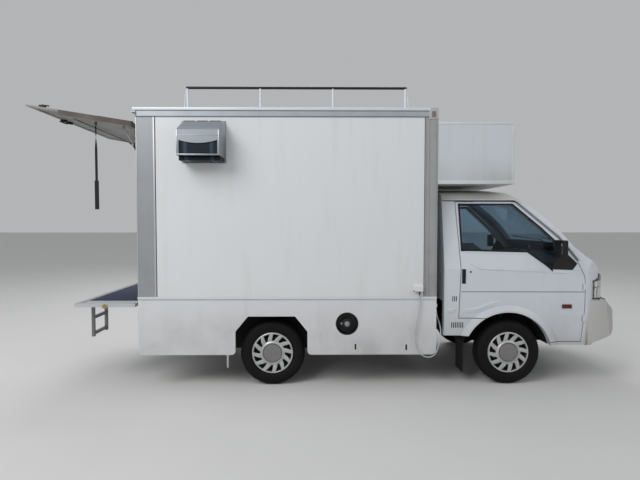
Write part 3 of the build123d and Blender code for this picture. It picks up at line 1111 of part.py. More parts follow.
# Pull strap: flat webbing that hangs plumb from the flap, with a doubled hand loop at its end
STRAP_LENGTH = 790.0
LOOP_LENGTH = 260.0
WEB_W = 26.0
WEB_T = 4.0
strap_x, strap_z = flap_point(STRAP_ALONG, STRAP_DROP)
with BuildPart() as pull_strap:
    block(strap_x - WEB_T / 2, strap_x + WEB_T / 2, STRAP_Y - WEB_W / 2, STRAP_Y + WEB_W / 2,
          strap_z - STRAP_LENGTH + LOOP_LENGTH, strap_z - STRAP_BAR_R - PIN_GAP)
    block(strap_x - WEB_T * 0.75, strap_x + WEB_T * 0.75, STRAP_Y - STRAP_W / 2, STRAP_Y + STRAP_W / 2,
          strap_z - STRAP_LENGTH, strap_z - STRAP_LENGTH + LOOP_LENGTH)
save(pull_strap.part, "pull_strap")

# Rear gate: a level platform when down, with the ears that carry the steps
STEP_AXIS_X = GATE_HINGE_X - 494.0
STEP_AXIS_Z = FLOOR_TOP - 55.0
STEP_YS = (216 - BOX_HALF, 500 - BOX_HALF)
STEP_W = 26.0
STEP_LENGTH = 298.0
STEP_RUNG_DROPS = (114.0, 269.0)
EAR_W = 8.0
EAR_HALF = 14.0
EAR_BELOW = 12.0
with BuildPart() as rear_gate:
    block(GATE_HINGE_X - GATE_LENGTH, GATE_HINGE_X - GATE_EDGE_GAP, -BOX_HALF, BOX_HALF,
          FLOOR_TOP - GATE_T, FLOOR_TOP)
    for lug_y in (-KNUCKLE_Y, KNUCKLE_Y):
        low_y = lug_y + KNUCKLE_W + PIN_GAP
        bar((GATE_HINGE_X, low_y, GATE_HINGE_Z), (GATE_HINGE_X, low_y + KNUCKLE_W, GATE_HINGE_Z), HINGE_R)
        block(GATE_HINGE_X - GATE_EDGE_GAP - 2, GATE_HINGE_X, low_y, low_y + KNUCKLE_W,
              GATE_HINGE_Z - HINGE_R, GATE_HINGE_Z + HINGE_R)
    for ear_y in (STEP_YS[0] - STEP_W / 2 - PIN_GAP - EAR_W, STEP_YS[1] + STEP_W / 2 + PIN_GAP):
        block(STEP_AXIS_X - EAR_HALF, STEP_AXIS_X + EAR_HALF, ear_y, ear_y + EAR_W,
              STEP_AXIS_Z - EAR_BELOW, FLOOR_TOP - GATE_T)
save(rear_gate.part, "rear_gate")

# Steps: two stiles, round at their pivots, and two rungs that fold up under the gate
with BuildPart() as step_frame:
    for stile_y in STEP_YS:
        block(STEP_AXIS_X - STEP_W / 2, STEP_AXIS_X + STEP_W / 2, stile_y - STEP_W / 2, stile_y + STEP_W / 2,
              STEP_AXIS_Z - STEP_LENGTH, STEP_AXIS_Z)
        bar((STEP_AXIS_X, stile_y - STEP_W / 2, STEP_AXIS_Z),
            (STEP_AXIS_X, stile_y + STEP_W / 2, STEP_AXIS_Z), STEP_W / 2)
    for drop in STEP_RUNG_DROPS:
        block(STEP_AXIS_X - STEP_W / 2, STEP_AXIS_X + STEP_W / 2, STEP_YS[0], STEP_YS[1],
              STEP_AXIS_Z - drop - STEP_W / 2, STEP_AXIS_Z - drop + STEP_W / 2)
save(step_frame.part, "step_frame")
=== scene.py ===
from math import atan2, cos, degrees, pi, radians, sin, sqrt

import bmesh
import bpy
from mathutils import Matrix, Vector
from mathutils.bvhtree import BVHTree


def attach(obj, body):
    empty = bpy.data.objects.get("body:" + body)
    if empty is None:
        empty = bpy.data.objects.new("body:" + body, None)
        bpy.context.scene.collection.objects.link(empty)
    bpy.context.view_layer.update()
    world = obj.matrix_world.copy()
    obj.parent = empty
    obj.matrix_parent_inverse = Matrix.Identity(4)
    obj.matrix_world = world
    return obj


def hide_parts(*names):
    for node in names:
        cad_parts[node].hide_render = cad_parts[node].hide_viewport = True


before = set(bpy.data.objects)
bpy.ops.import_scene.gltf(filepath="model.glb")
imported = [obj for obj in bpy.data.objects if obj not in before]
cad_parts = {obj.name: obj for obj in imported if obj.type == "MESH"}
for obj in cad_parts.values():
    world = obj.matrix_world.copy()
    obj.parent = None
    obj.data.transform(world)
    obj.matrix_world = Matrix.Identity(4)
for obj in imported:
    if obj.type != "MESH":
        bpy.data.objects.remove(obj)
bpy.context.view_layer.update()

# Camera: it stands level with the truck's middle, a little over five metres off its right side, and looks
# slightly down.
camera = bpy.data.objects.new("camera", bpy.data.cameras.new("camera"))
camera.data.lens = 26.7
camera.data.sensor_width = 36.0
camera.location = (-0.125, -5.264, 1.555)
camera.rotation_euler = (radians(87.72), 0.0, radians(-0.6))
bpy.context.collection.objects.link(camera)
bpy.context.scene.camera = camera
bpy.context.scene.view_settings.view_transform = "Standard"


# Power lead: round flexible lead in a pale grey sheath, moulded into the inlet above and hanging in one loop
# before it goes back in through the gland on the front wall.
class Socket:
    """A shader socket. Sums and products of sockets add the Math nodes that work them out."""

    def __init__(self, finish, socket):
        self.finish = finish
        self.socket = socket

    def math(self, operation, first, second=0.0):
        return self.finish.node("ShaderNodeMath", {"operation": operation}, {0: first, 1: second})

    def __add__(self, other):
        return self.math("ADD", self, other)

    def __sub__(self, other):
        return self.math("SUBTRACT", self, other)

    def __rsub__(self, other):
        return self.math("SUBTRACT", other, self)

    def __mul__(self, other):
        return self.math("MULTIPLY", self, other)

    def __abs__(self):
        return self.math("ABSOLUTE", self)

    def __mod__(self, other):
        return self.math("FLOORED_MODULO", self, other)

    __radd__ = __add__
    __rmul__ = __mul__


class Finish:
    """A material, built from nodes given by type, settings and sockets."""

    def __init__(self, name, **constants):
        self.material = bpy.data.materials.new(name)
        self.material.use_nodes = True
        self.tree = self.material.node_tree
        self.shader = self.tree.nodes["Principled BSDF"]
        for socket, value in constants.items():
            self.shader.inputs[socket.replace("_", " ")].default_value = value

    def join(self, socket, value):
        if isinstance(value, Socket):
            self.tree.links.new(value.socket, socket)
        else:
            socket.default_value = value

    def node(self, kind, settings=None, sockets=None, outputs=(0,)):
        node = self.tree.nodes.new(kind)
        for setting, value in (settings or {}).items():
            setattr(node, setting, value)
        for key, value in (sockets or {}).items():
            self.join(node.inputs[key], value)
        given = tuple(Socket(self, node.outputs[key]) for key in outputs)
        return given if len(given) > 1 else given[0]

    def place(self):
        """The object's own coordinates."""
        return self.node("ShaderNodeTexCoord", outputs=("Object",))

    def axes(self, names):
        """The object's coordinates along the named axes."""
        return self.node("ShaderNodeSeparateXYZ", None, {0: self.place()}, names)

    def noise(self, scale, detail=2.0, roughness=0.5, vector=None):
        return self.node("ShaderNodeTexNoise", None, {
            "Vector": vector or self.place(), "Scale": scale, "Detail": detail, "Roughness": roughness})

    def stretched(self, scales):
        """The object's coordinates, stretched along each axis."""
        return self.node("ShaderNodeMapping", None, {"Vector": self.place(), "Scale": scales})

    def fade(self, value, start, end, low=0.0, high=1.0):
        return self.node("ShaderNodeMapRange", {"interpolation_type": "SMOOTHSTEP"}, {
            "Value": value, "From Min": start, "From Max": end, "To Min": low, "To Max": high})

    def mix(self, factor, first, second):
        return self.node("ShaderNodeMix", {"data_type": "RGBA"}, {0: factor, 6: first, 7: second}, (2,))

    def bump(self, height, strength, distance):
        normal = self.node("ShaderNodeBump", None, {"Height": height, "Strength": strength, "Distance": distance},
                           ("Normal",))
        self.join(self.shader.inputs["Normal"], normal)

    def set(self, **links):
        for socket, value in links.items():
            self.join(self.shader.inputs[socket.replace("_", " ")], value)
        return self


def tint(red, green, blue):
    """A colour as it looks on a screen, 0 to 255, as the shader counts it."""
    shares = [part / 255 for part in (red, green, blue)]
    return (*[part / 12.92 if part <= 0.04045 else ((part + 0.055) / 1.055) ** 2.4 for part in shares], 1.0)


def moulded(name, colour, roughness=0.45, grain=900.0, speck=0.12):
    """Moulded plastic or rubber: fine grain, slight fading and handling marks."""
    finish = Finish(name, Roughness=roughness, Specular_IOR_Level=0.3)
    patches = finish.noise(6.0, 4.0)
    pale = tuple(min(1.0, part * 1.25 + 0.004) for part in colour[:3]) + (1.0,)
    finish.set(Base_Color=finish.mix(finish.fade(patches, 0.35, 0.75, 0.0, 0.8), colour, pale),
               Roughness=patches * 0.2 + (roughness - 0.1))
    finish.bump(finish.noise(grain, 2.0), speck, 0.0005)
    return finish


def add_piece(name, bm, finish, body, replaces=(), sharp=32.0):
    """Makes one piece of a bmesh: shades it, gives it its finish and lets it ride on its body."""
    mesh = bpy.data.meshes.new(name)
    bmesh.ops.recalc_face_normals(bm, faces=bm.faces)
    bm.to_mesh(mesh)
    bm.free()
    mesh.shade_smooth()
    mesh.set_sharp_from_angle(angle=radians(sharp))
    piece = bpy.data.objects.new(name, mesh)
    bpy.context.collection.objects.link(piece)
    mesh.materials.append(finish.material)
    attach(piece, body)
    if replaces:
        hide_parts(*replaces)
    return piece


def turned(bm, profile, centre, way, steps=32):
    """Adds a turned form: profile holds radius and place along the axis, which runs from centre along way."""
    way = Vector(way).normalized()
    turn = Vector((0, 0, 1)).rotation_difference(way).to_matrix().to_4x4()
    known = set(bm.verts)
    rings = [bm.verts.new((radius, 0, along)) for radius, along in profile]
    edges = [bm.edges.new(pair) for pair in zip(rings, rings[1:])]
    bmesh.ops.spin(bm, geom=rings + edges, axis=(0, 0, 1), cent=(0, 0, 0), angle=2 * pi, steps=steps,
                   use_merge=True, use_duplicate=False)
    made = [vert for vert in bm.verts if vert not in known]
    bmesh.ops.remove_doubles(bm, verts=made, dist=0.00001)
    made = [vert for vert in made if vert.is_valid]
    bmesh.ops.transform(bm, matrix=Matrix.Translation(centre) @ turn, verts=made)


LEAD_R = 0.005
LEAD_ROUTE = (
    (0.844, -0.902, 0.906), (0.846, -0.903, 0.816), (0.838, -0.904, 0.705), (0.808, -0.903, 0.570),
    (0.799, -0.902, 0.447), (0.821, -0.901, 0.360), (0.869, -0.900, 0.305), (0.931, -0.898, 0.283),
    (0.981, -0.896, 0.299), (1.012, -0.893, 0.342), (1.031, -0.889, 0.410), (1.048, -0.876, 0.474),
    (1.056, -0.852, 0.536), (1.048, -0.826, 0.596), (1.032, -0.807, 0.652), (1.022, -0.800, 0.700),
    (1.022, -0.800, 0.744),
)
lead_curve = bpy.data.curves.new("lead_sheath", "CURVE")
lead_curve.dimensions = "3D"
lead_curve.bevel_depth = LEAD_R
lead_curve.bevel_resolution = 5
lead_curve.use_fill_caps = True
spline = lead_curve.splines.new("NURBS")
spline.points.add(len(LEAD_ROUTE) - 1)
for point, place in zip(spline.points, LEAD_ROUTE):
    point.co = (*place, 1.0)
spline.order_u = 3
spline.use_endpoint_u = True
spline.resolution_u = 8
lead = bpy.data.objects.new("lead_sheath", lead_curve)
bpy.context.collection.objects.link(lead)
pale_rubber = moulded("pale_rubber", tint(176, 178, 180), 0.5)
lead_curve.materials.append(pale_rubber.material)
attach(lead, "body")
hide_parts("power_lead")
relief_form = bmesh.new()
relief = [(0.0085, 0.0), (0.0085, 0.004)]
for ring in range(5):
    relief += [(0.0080 - ring * 0.0004, 0.005 + ring * 0.006), (0.0064 - ring * 0.0003, 0.008 + ring * 0.006)]
relief += [(0.0056, 0.036), (0.0053, 0.038)]
turned(relief_form, relief, LEAD_ROUTE[0], (0, 0, -1), 24)
turned(relief_form, relief, LEAD_ROUTE[-1], (0, 0, -1), 24)
relief_rubber = moulded("black_rubber", tint(28, 28, 30), 0.6)
relief_piece = add_piece("lead_reliefs", relief_form, relief_rubber, "body")


def dress(finish, *nodes):
    """Gives CAD nodes their finish."""
    for node in nodes:
        for material_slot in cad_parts[node].material_slots:
            material_slot.material = finish.material


# Tyres: radial van tyres of black rubber with four grooves round the tread, cross cuts on the shoulders and
# raised rings on the sidewalls.
TYRE_SPOTS = (
    # corner, wheel centre
    ("front_right", (1.714, -0.735, 0.306)),
    ("front_left", (1.714, 0.735, 0.306)),
    ("rear_right", (-0.528, -0.735, 0.306)),
    ("rear_left", (-0.528, 0.735, 0.306)),
)
TREAD_CUTS = 66
tyre_rubber = Finish("tyre_rubber", Roughness=0.75, Specular_IOR_Level=0.2)
dust = tyre_rubber.noise(9.0, 6.0, 0.7)
tyre_rubber.set(Base_Color=tyre_rubber.mix(tyre_rubber.fade(dust, 0.45, 0.85, 0.0, 0.5), tint(14, 14, 15),
                                           tint(34, 33, 31)),
                Roughness=dust * 0.25 + 0.6)
tyre_rubber.bump(tyre_rubber.noise(420.0, 3.0), 0.25, 0.0008)
tyre_half = (
    # distance from the tyre's middle plane, radius
    (0.000, 0.305), (0.009, 0.3048), (0.011, 0.298), (0.017, 0.298), (0.019, 0.3043), (0.036, 0.3028),
    (0.038, 0.296), (0.044, 0.296), (0.046, 0.3018), (0.060, 0.2988), (0.067, 0.2945), (0.0735, 0.283),
    (0.0775, 0.270), (0.0785, 0.268), (0.0800, 0.262), (0.0822, 0.247), (0.0818, 0.232), (0.0790, 0.219),
    (0.0795, 0.217), (0.0770, 0.212), (0.0700, 0.203), (0.0640, 0.198), (0.0610, 0.197), (0.0610, 0.179),
)
tyre_section = [(radius, -out) for out, radius in reversed(tyre_half)] + [
    (radius, out) for out, radius in tyre_half[1:]]
for corner, centre in TYRE_SPOTS:
    tyre_form = bmesh.new()
    turned(tyre_form, tyre_section, centre, (0, 1, 0), TREAD_CUTS * 2)
    shoulders = []
    for face in tyre_form.faces:
        spot = face.calc_center_median() - Vector(centre)
        out = abs(spot.y)
        turn = degrees(atan2(spot.z, spot.x)) % 360
        if 0.046 < out < 0.0735 and int(turn / 180 * TREAD_CUTS) % 2 and sqrt(spot.x ** 2 + spot.z ** 2) > 0.285:
            shoulders.append(face)
    bmesh.ops.recalc_face_normals(tyre_form, faces=tyre_form.faces)
    bmesh.ops.inset_region(tyre_form, faces=shoulders, thickness=0.0016, depth=-0.005, use_even_offset=True)
    add_piece(f"tyre_tread_{corner}", tyre_form, tyre_rubber, f"wheel_{corner}",
              (f"tyre_{corner}",), 25.0)

# Wheels: pressed dark steel rims held by five nuts each, behind silver covers of twelve swirled blades that are
# clipped to the rim's lip.
BLADES = 12
COLUMNS = 12         # mesh columns for each blade and its window
WINDOW_COLUMNS = 6
WINDOW_SHARES = (0.34, 0.66)  # how much of the ring the windows take, at their inner and outer edges
WINDOW_IN = 0.116
WINDOW_OUT = 0.180
SWIRL = radians(10.0)
BLADE_START = radians(2.0)
BLADE_RISE = 0.0012           # a blade's rise for each column away from its window
COVER_LIP = 0.009
silver_paint = Finish("cover_silver", Metallic=0.45, Coat_Weight=0.3, Coat_Roughness=0.25)
cover_x, cover_z = silver_paint.axes("XZ")
off_x = abs(abs(cover_x - 0.593) - 1.121)
off_z = cover_z - 0.306
reach = off_x * off_x + off_z * off_z
middle = silver_paint.fade(reach, 0.0070, 0.0076, 1.0, 0.0)
# Painted shade: a dark ring in the pressed groove round the centre disc.
ring = silver_paint.fade(abs(reach - 0.0079), 0.0004, 0.0012, 1.0, 0.0)
smears = silver_paint.noise(14.0, 5.0, 0.65)
worn = silver_paint.mix(silver_paint.fade(smears, 0.42, 0.85, 0.0, 0.5), tint(186, 187, 188), tint(112, 108, 102))
worn = silver_paint.mix(middle, worn, silver_paint.mix(smears, tint(142, 141, 140), tint(116, 113, 110)))
silver_paint.set(Base_Color=silver_paint.mix(ring * 0.75, worn, tint(56, 55, 54)), Roughness=smears * 0.3 + 0.25)
silver_paint.bump(silver_paint.noise(300.0, 2.0), 0.06, 0.0004)
rim_steel = Finish("rim_steel", Metallic=0.5)
grime = rim_steel.noise(22.0, 5.0)
rim_steel.set(Base_Color=rim_steel.mix(rim_steel.fade(grime, 0.4, 0.75), tint(40, 38, 37), tint(70, 62, 55)),
              Roughness=grime * 0.3 + 0.45)
COVER_SECTION = (
    # radius, distance out from the wheel's centre
    (0.0, 0.0830), (0.030, 0.0828), (0.055, 0.0820), (0.076, 0.0808), (0.083, 0.0795), (0.086, 0.0750),
    (0.0905, 0.0748), (0.094, 0.0778), (0.100, 0.0782), (0.106, 0.0740), (0.110, 0.0712), (0.116, 0.0700),
    (0.130, 0.0716), (0.146, 0.0728), (0.162, 0.0734), (0.172, 0.0736), (0.180, 0.0740), (0.184, 0.0762),
    (0.189, 0.0764), (0.193, 0.0735), (0.1955, 0.0640),
)
RIM_SECTION = (
    # radius, distance out from the wheel's centre
    (0.0, 0.030), (0.052, 0.030), (0.058, 0.024), (0.080, 0.018), (0.120, 0.034), (0.148, 0.040), (0.160, 0.020),
    (0.166, 0.030), (0.172, 0.056), (0.186, 0.058), (0.1945, 0.0615), (0.1945, 0.0655), (0.178, 0.0655),
    (0.177, -0.0615), (0.190, -0.064), (0.190, -0.068), (0.165, -0.068), (0.160, -0.010), (0.060, -0.010),
    (0.0595, 0.0), (0.040, 0.002), (0.0, 0.002),
)


def on_cover(spot):
    """A place's radius, and how many columns it lies past the edge of the nearest window."""
    turn = degrees(atan2(spot.x, spot.z)) % 360 / 360 * BLADES * COLUMNS
    column = (turn + COLUMNS / 2) % COLUMNS - COLUMNS / 2
    return sqrt(spot.x ** 2 + spot.z ** 2), abs(column) - WINDOW_COLUMNS / 2


for corner, centre in TYRE_SPOTS:
    out = -1 if "right" in corner else 1
    cover_form = bmesh.new()
    turned(cover_form, COVER_SECTION, (0, 0, 0), (0, -1, 0), BLADES * COLUMNS)
    windows = []
    for face in cover_form.faces:
        radius, past = on_cover(face.calc_center_median())
        if WINDOW_IN < radius < WINDOW_OUT and past < 0:
            windows.append(face)
    for vert in cover_form.verts:
        radius, past = on_cover(vert.co)
        if WINDOW_IN - 0.001 < radius < WINDOW_OUT + 0.001 and past > 0:
            vert.co.y -= BLADE_RISE * past
    bmesh.ops.delete(cover_form, geom=windows, context="FACES")
    for vert in cover_form.verts:
        radius = sqrt(vert.co.x ** 2 + vert.co.z ** 2)
        share = min(max((radius - WINDOW_IN) / (WINDOW_OUT - WINDOW_IN), 0.0), 1.0)
        pitches = atan2(vert.co.x, vert.co.z) / (2 * pi) * BLADES
        across = (pitches + 0.5) % 1 - 0.5
        made, wanted = WINDOW_COLUMNS / COLUMNS / 2, (WINDOW_SHARES[0] * (1 - share) + WINDOW_SHARES[1] * share) / 2
        if radius < WINDOW_IN - 0.001 or radius > WINDOW_OUT + 0.001:
            moved = across
        elif abs(across) <= made:
            moved = across * wanted / made
        else:
            moved = (wanted + (abs(across) - made) * (0.5 - wanted) / (0.5 - made)) * (1 if across > 0 else -1)
        swing = (moved - across) * 2 * pi / BLADES + SWIRL * share + BLADE_START
        vert.co = Matrix.Rotation(swing, 4, "Y") @ vert.co
    rims = [edge for edge in cover_form.edges if edge.is_boundary]
    lips = bmesh.ops.extrude_edge_only(cover_form, edges=rims)["geom"]
    for vert in [part for part in lips if isinstance(part, bmesh.types.BMVert)]:
        vert.co.y += COVER_LIP
        if sqrt(vert.co.x ** 2 + vert.co.z ** 2) > 0.19:
            vert.co.y += 0.003
    turn = Matrix.Rotation(0.0 if out < 0 else pi, 4, "Z")
    bmesh.ops.transform(cover_form, matrix=Matrix.Translation(centre) @ turn, verts=cover_form.verts)
    add_piece(f"wheel_cover_{corner}", cover_form, silver_paint, f"wheel_{corner}",
              (f"wheel_{corner}",), 28.0)
    rim_form = bmesh.new()
    turned(rim_form, RIM_SECTION, centre, (0, out, 0), 64)
    for nut in range(5):
        angle = nut * 2 * pi / 5
        spot = Vector(centre) + Vector((0.057 * sin(angle), out * 0.024, 0.057 * cos(angle)))
        turned(rim_form, [(0.0, 0.020), (0.006, 0.019), (0.009, 0.015), (0.0105, 0.0), (0.0, -0.004)], spot,
               (0, out, 0), 6)
    add_piece(f"wheel_rim_{corner}", rim_form, rim_steel, f"wheel_{corner}", (f"wheel_{corner}",))

# Frame, axles and springs: rolled and pressed steel, welded and bolted together, painted black and dusty from
# the road, with rust where stones have chipped it.
road_steel = Finish("road_steel", Metallic=0.3)
mud = road_steel.noise(5.0, 7.0, 0.7)
rust = road_steel.noise(17.0, 6.0, 0.65)
road_steel.set(
    Base_Color=road_steel.mix(road_steel.fade(rust, 0.58, 0.72, 0.0, 0.7),
                              road_steel.mix(road_steel.fade(mud, 0.4, 0.7), tint(30, 30, 31), tint(62, 57, 52)),
                              tint(84, 54, 36)),
    Roughness=mud * 0.3 + 0.5)
road_steel.bump(rust, 0.3, 0.002)
dress(road_steel, "chassis_frame", "rear_axle", "propeller_shaft", "leaf_springs", "front_suspension",
      "knuckle_right", "knuckle_left", "exhaust", "fuel_tank")

# Engine: a block of cast iron under the seats, carried between the frame's rails. Its sides are rough from the
# sand mould, oily and dull.
cast_metal = Finish("cast_metal", Metallic=0.6)
oil = cast_metal.noise(8.0, 6.0)
cast_metal.set(Base_Color=cast_metal.mix(cast_metal.fade(oil, 0.4, 0.7), tint(98, 97, 94), tint(48, 43, 38)),
               Roughness=oil * 0.4 + 0.3)
cast_metal.bump(cast_metal.noise(160.0, 3.0), 0.35, 0.001)
dress(cast_metal, "engine_block")

# Wheel housings: blow-moulded black liners with dried road dust, the mud flaps behind the front wheels, and
# flat boards of the same plastic that close the housings on the inside and stand in for the shade under the
# truck: partly painted shade.
liner_plastic = moulded("liner_plastic", tint(17, 17, 18), 0.7, 240.0, 0.3)
dress(liner_plastic, "front_liners", "rear_liners")


def slab(bm, corner, other, edge=0.002, turn=None, segments=2):
    """A square part between two corners, its edges eased."""
    low = Vector([min(pair) for pair in zip(corner, other)])
    high = Vector([max(pair) for pair in zip(corner, other)])
    shape = Matrix.Translation((low + high) / 2) @ Matrix.Diagonal((*(high - low), 1.0))
    made = bmesh.ops.create_cube(bm, size=1.0, matrix=(turn or Matrix()) @ shape)
    edges = list({part for vert in made["verts"] for part in vert.link_edges})
    bmesh.ops.bevel(bm, geom=edges, offset=edge, offset_type="OFFSET", segments=segments, profile=0.5,
                    affect="EDGES", material=-1, clamp_overlap=True)


# Black boards inside the wheel housings, partly a dark sheet standing in for the shade under the truck.
housing_shade_form = bmesh.new()
for side in (-1, 1):
    slab(housing_shade_form, (-0.960, side * 0.5985, 0.300), (-0.180, side * 0.6015, 0.672), 0.001, segments=1)
    slab(housing_shade_form, (1.300, side * 0.4765, 0.340), (2.240, side * 0.4795, 0.600), 0.001, segments=1)
add_piece("housing_shade_backs", housing_shade_form, liner_plastic, "body")


def painted(name, colour, grime, ripple=0.0, low=0.25, high=1.0, gloss=0.28):
    """Sprayed paint: a clear gloss, soft patches, thin road film that thins out upwards, and faint streaks."""
    finish = Finish(name, Coat_Weight=0.35, Coat_Roughness=0.12)
    z = finish.axes("Z")
    patches = finish.noise(2.2, 5.0, 0.6)
    streaks = finish.noise(5.0, 4.0, 0.55, finish.stretched((2.2, 2.2, 0.25)))
    film = finish.fade(z, low, high, 1.0, 0.0) * finish.fade(patches, 0.3, 0.75, 0.25, 1.0)
    film = film + finish.fade(streaks, 0.52, 0.8, 0.0, 0.2)
    finish.set(Base_Color=finish.mix(film * 0.55, colour, grime), Roughness=film * 0.35 + gloss)
    height = finish.noise(2.6, 1.0, 0.4) * ripple + finish.noise(500.0, 1.0) * 0.00004
    finish.bump(height, 1.0, 1.0)
    return finish


# Cab: pressed and welded steel shell in sprayed white, a roof pressing that has aged to cream, and doors that
# reach down round the front wheels. The shell's white is tinted darker and cooler than the box's as painted
# shade. Rain gutters, creases, seals, handles and wipers follow its curved sides.
shaded_body_white = painted("shaded_body_white", tint(204, 209, 216), tint(146, 140, 130), 0.0006)
dress(shaded_body_white, "cab_shell", "door_right", "door_left")
roof_white = painted("roof_white", tint(216, 216, 210), tint(168, 164, 150), 0.0004, 1.7, 1.9)
dress(roof_white, "cab_roof")
black_rubber = moulded("seal_rubber", tint(20, 20, 22), 0.6)
black_plastic = moulded("black_plastic", tint(24, 24, 26), 0.45, 500.0, 0.3)


def skin_of(*meshes):
    """The meshes' outer skin, to lay pieces on."""
    form = bmesh.new()
    for mesh in meshes:
        form.from_mesh(mesh)
    skin = BVHTree.FromBMesh(form)
    form.free()
    return skin


def lay_on(skin, verts, way):
    """Lays points on a skin seen along way, over narrow gaps too: a point's place on way becomes its height."""
    side = Vector((0, 0.005, 0)) if way.x else Vector((0.005, 0, 0))
    level = 0.0
    for vert in verts:
        start = vert.co + way * (4.0 - vert.co.dot(way))
        tops = []
        for shift in (Vector(), side, -side, Vector((0, 0, 0.005)), Vector((0, 0, -0.005))):
            hit = skin.ray_cast(start + shift, -way)[0]
            tops.append(hit.dot(way) if hit else -9.0)
        top = tops[0] if max(tops) - tops[0] < 0.008 else max(tops)
        level = top if top > 0.5 else level
        vert.co += way * level


cab_skin = skin_of(*[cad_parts[node].data for node in (
    "cab_shell", "cab_roof", "door_right", "door_left", "cab_glass", "door_glass_right", "door_glass_left")])


def strip(bm, path, section, skin, way, closed=False, taper=0.0):
    """A strip of a section of across and out, run along a path on the skin: x and z on a side, y and z in front."""
    stops = [Vector(stop) for stop in path]
    runs = []
    for start, end in zip(stops, stops[1:] + stops[:1] if closed else stops[1:]):
        steps = max(1, int((end - start).length / 0.03))
        runs += [start.lerp(end, step / steps) for step in range(steps)]
    if not closed:
        runs.append(stops[-1])
    face = bm.faces.new([bm.verts.new((0, 0, 0)) for part in section])
    made = []
    row = {vert: number for number, vert in enumerate(face.verts)}
    for i, here in enumerate(runs):
        before = (here - runs[i - 1]) if i or closed else (runs[1] - here)
        after = (runs[(i + 1) % len(runs)] - here) if i + 1 < len(runs) or closed else before
        before, after = before.normalized(), after.normalized()
        across = Vector((-before.y - after.y, before.x + after.x)) / (1 + before.dot(after))
        if i:
            pushed = bmesh.ops.extrude_face_region(bm, geom=[face])["geom"]
            face = [part for part in pushed if isinstance(part, bmesh.types.BMFace)][0]
            row = {vert: row[edge.other_vert(vert)] for vert in face.verts for edge in vert.link_edges
                   if edge.other_vert(vert) in row}
        else:
            first = face
        level = 1.0
        if taper:
            level = min(1.0, (here - stops[0]).length / taper, (here - stops[-1]).length / taper)
        for vert, number in row.items():
            spot = here + across * section[number][0]
            flat = Vector((0, spot.x, spot.y)) if way.x else Vector((spot.x, 0, spot.y))
            vert.co = flat + way * (section[number][1] * level)
        made += row
    if closed:
        edges = list(first.edges) + list(face.edges)
        bmesh.ops.delete(bm, geom=[first, face], context="FACES_ONLY")
        bmesh.ops.bridge_loops(bm, edges=edges)
    lay_on(skin, made, way)


def grown(outline, by):
    """A closed outline that runs clockwise, moved outwards."""
    moved = []
    for before, here, after in zip(outline[-1:] + outline[:-1], outline, outline[1:] + outline[:1]):
        runs = [(Vector(here) - Vector(before)).normalized(), (Vector(after) - Vector(here)).normalized()]
        out = [Vector((-run.y, run.x)) for run in runs]
        moved.append(tuple(Vector(here) + (out[0] + out[1]) * (by / (1 + out[0].dot(out[1])))))
    return tuple(moved)


RIDGE = ((-0.040, -0.002), (-0.024, 0.0036), (0.0, 0.0090), (0.010, 0.0080), (0.022, -0.002))
CREASE = ((-0.016, -0.002), (-0.004, 0.0056), (0.004, 0.0060), (0.012, -0.002))
LINE = ((-0.0025, -0.002), (-0.0025, 0.0007), (0.0025, 0.0007), (0.0025, -0.002))
SEAL = ((-0.009, -0.003), (-0.008, 0.0028), (0.0, 0.0045), (0.008, 0.0028), (0.009, -0.003))
LIP = ((-0.008, -0.003), (-0.007, 0.004), (0.007, 0.004), (0.008, -0.003))
DRIP = ((-0.004, -0.002), (-0.004, 0.0015), (0.004, 0.0015), (0.004, -0.002))
WIPER = ((-0.005, 0.003), (-0.005, 0.013), (0.005, 0.013), (0.005, 0.003))
GUTTER = ((-0.007, -0.002), (-0.007, 0.013), (0.000, 0.015), (0.007, 0.011), (0.007, -0.002))
GUTTER_PATH = ((1.097, 1.762), (1.782, 1.762), (1.806, 1.756), (1.832, 1.740), (2.199, 1.421), (2.212, 1.406),
               (2.376, 1.188))
GUTTER_LINE = ((1.097, 1.749), (1.776, 1.749), (1.798, 1.744), (1.822, 1.728), (2.188, 1.409), (2.201, 1.394),
               (2.362, 1.180))
WINDOW = ((1.270, 1.287), (1.262, 1.707), (1.768, 1.707), (2.026, 1.482), (2.194, 1.316), (2.110, 1.100),
          (2.051, 1.154), (1.888, 1.274))
DOOR_CREASES = (
    # section, path
    (CREASE, ((1.312, 1.180), (1.350, 1.152), (1.406, 1.118), (1.470, 1.106), (2.100, 1.078))),
    (RIDGE, ((1.264, 0.716), (1.370, 0.717), (1.440, 0.736), (1.505, 0.764), (1.570, 0.784), (1.625, 0.790))),
    (CREASE, ((1.272, 1.266), (1.880, 1.250), (2.045, 1.130), (2.108, 1.074), (2.300, 1.066))),
)
marker_red = moulded("marker_red", tint(88, 34, 30), 0.25, 60.0, 0.1)
mirror_silver = Finish("mirror_silver", Metallic=1.0, Roughness=0.06)
spots = mirror_silver.noise(90.0, 3.0)
mirror_silver.set(Base_Color=mirror_silver.mix(spots, tint(196, 200, 204), tint(178, 182, 186)))
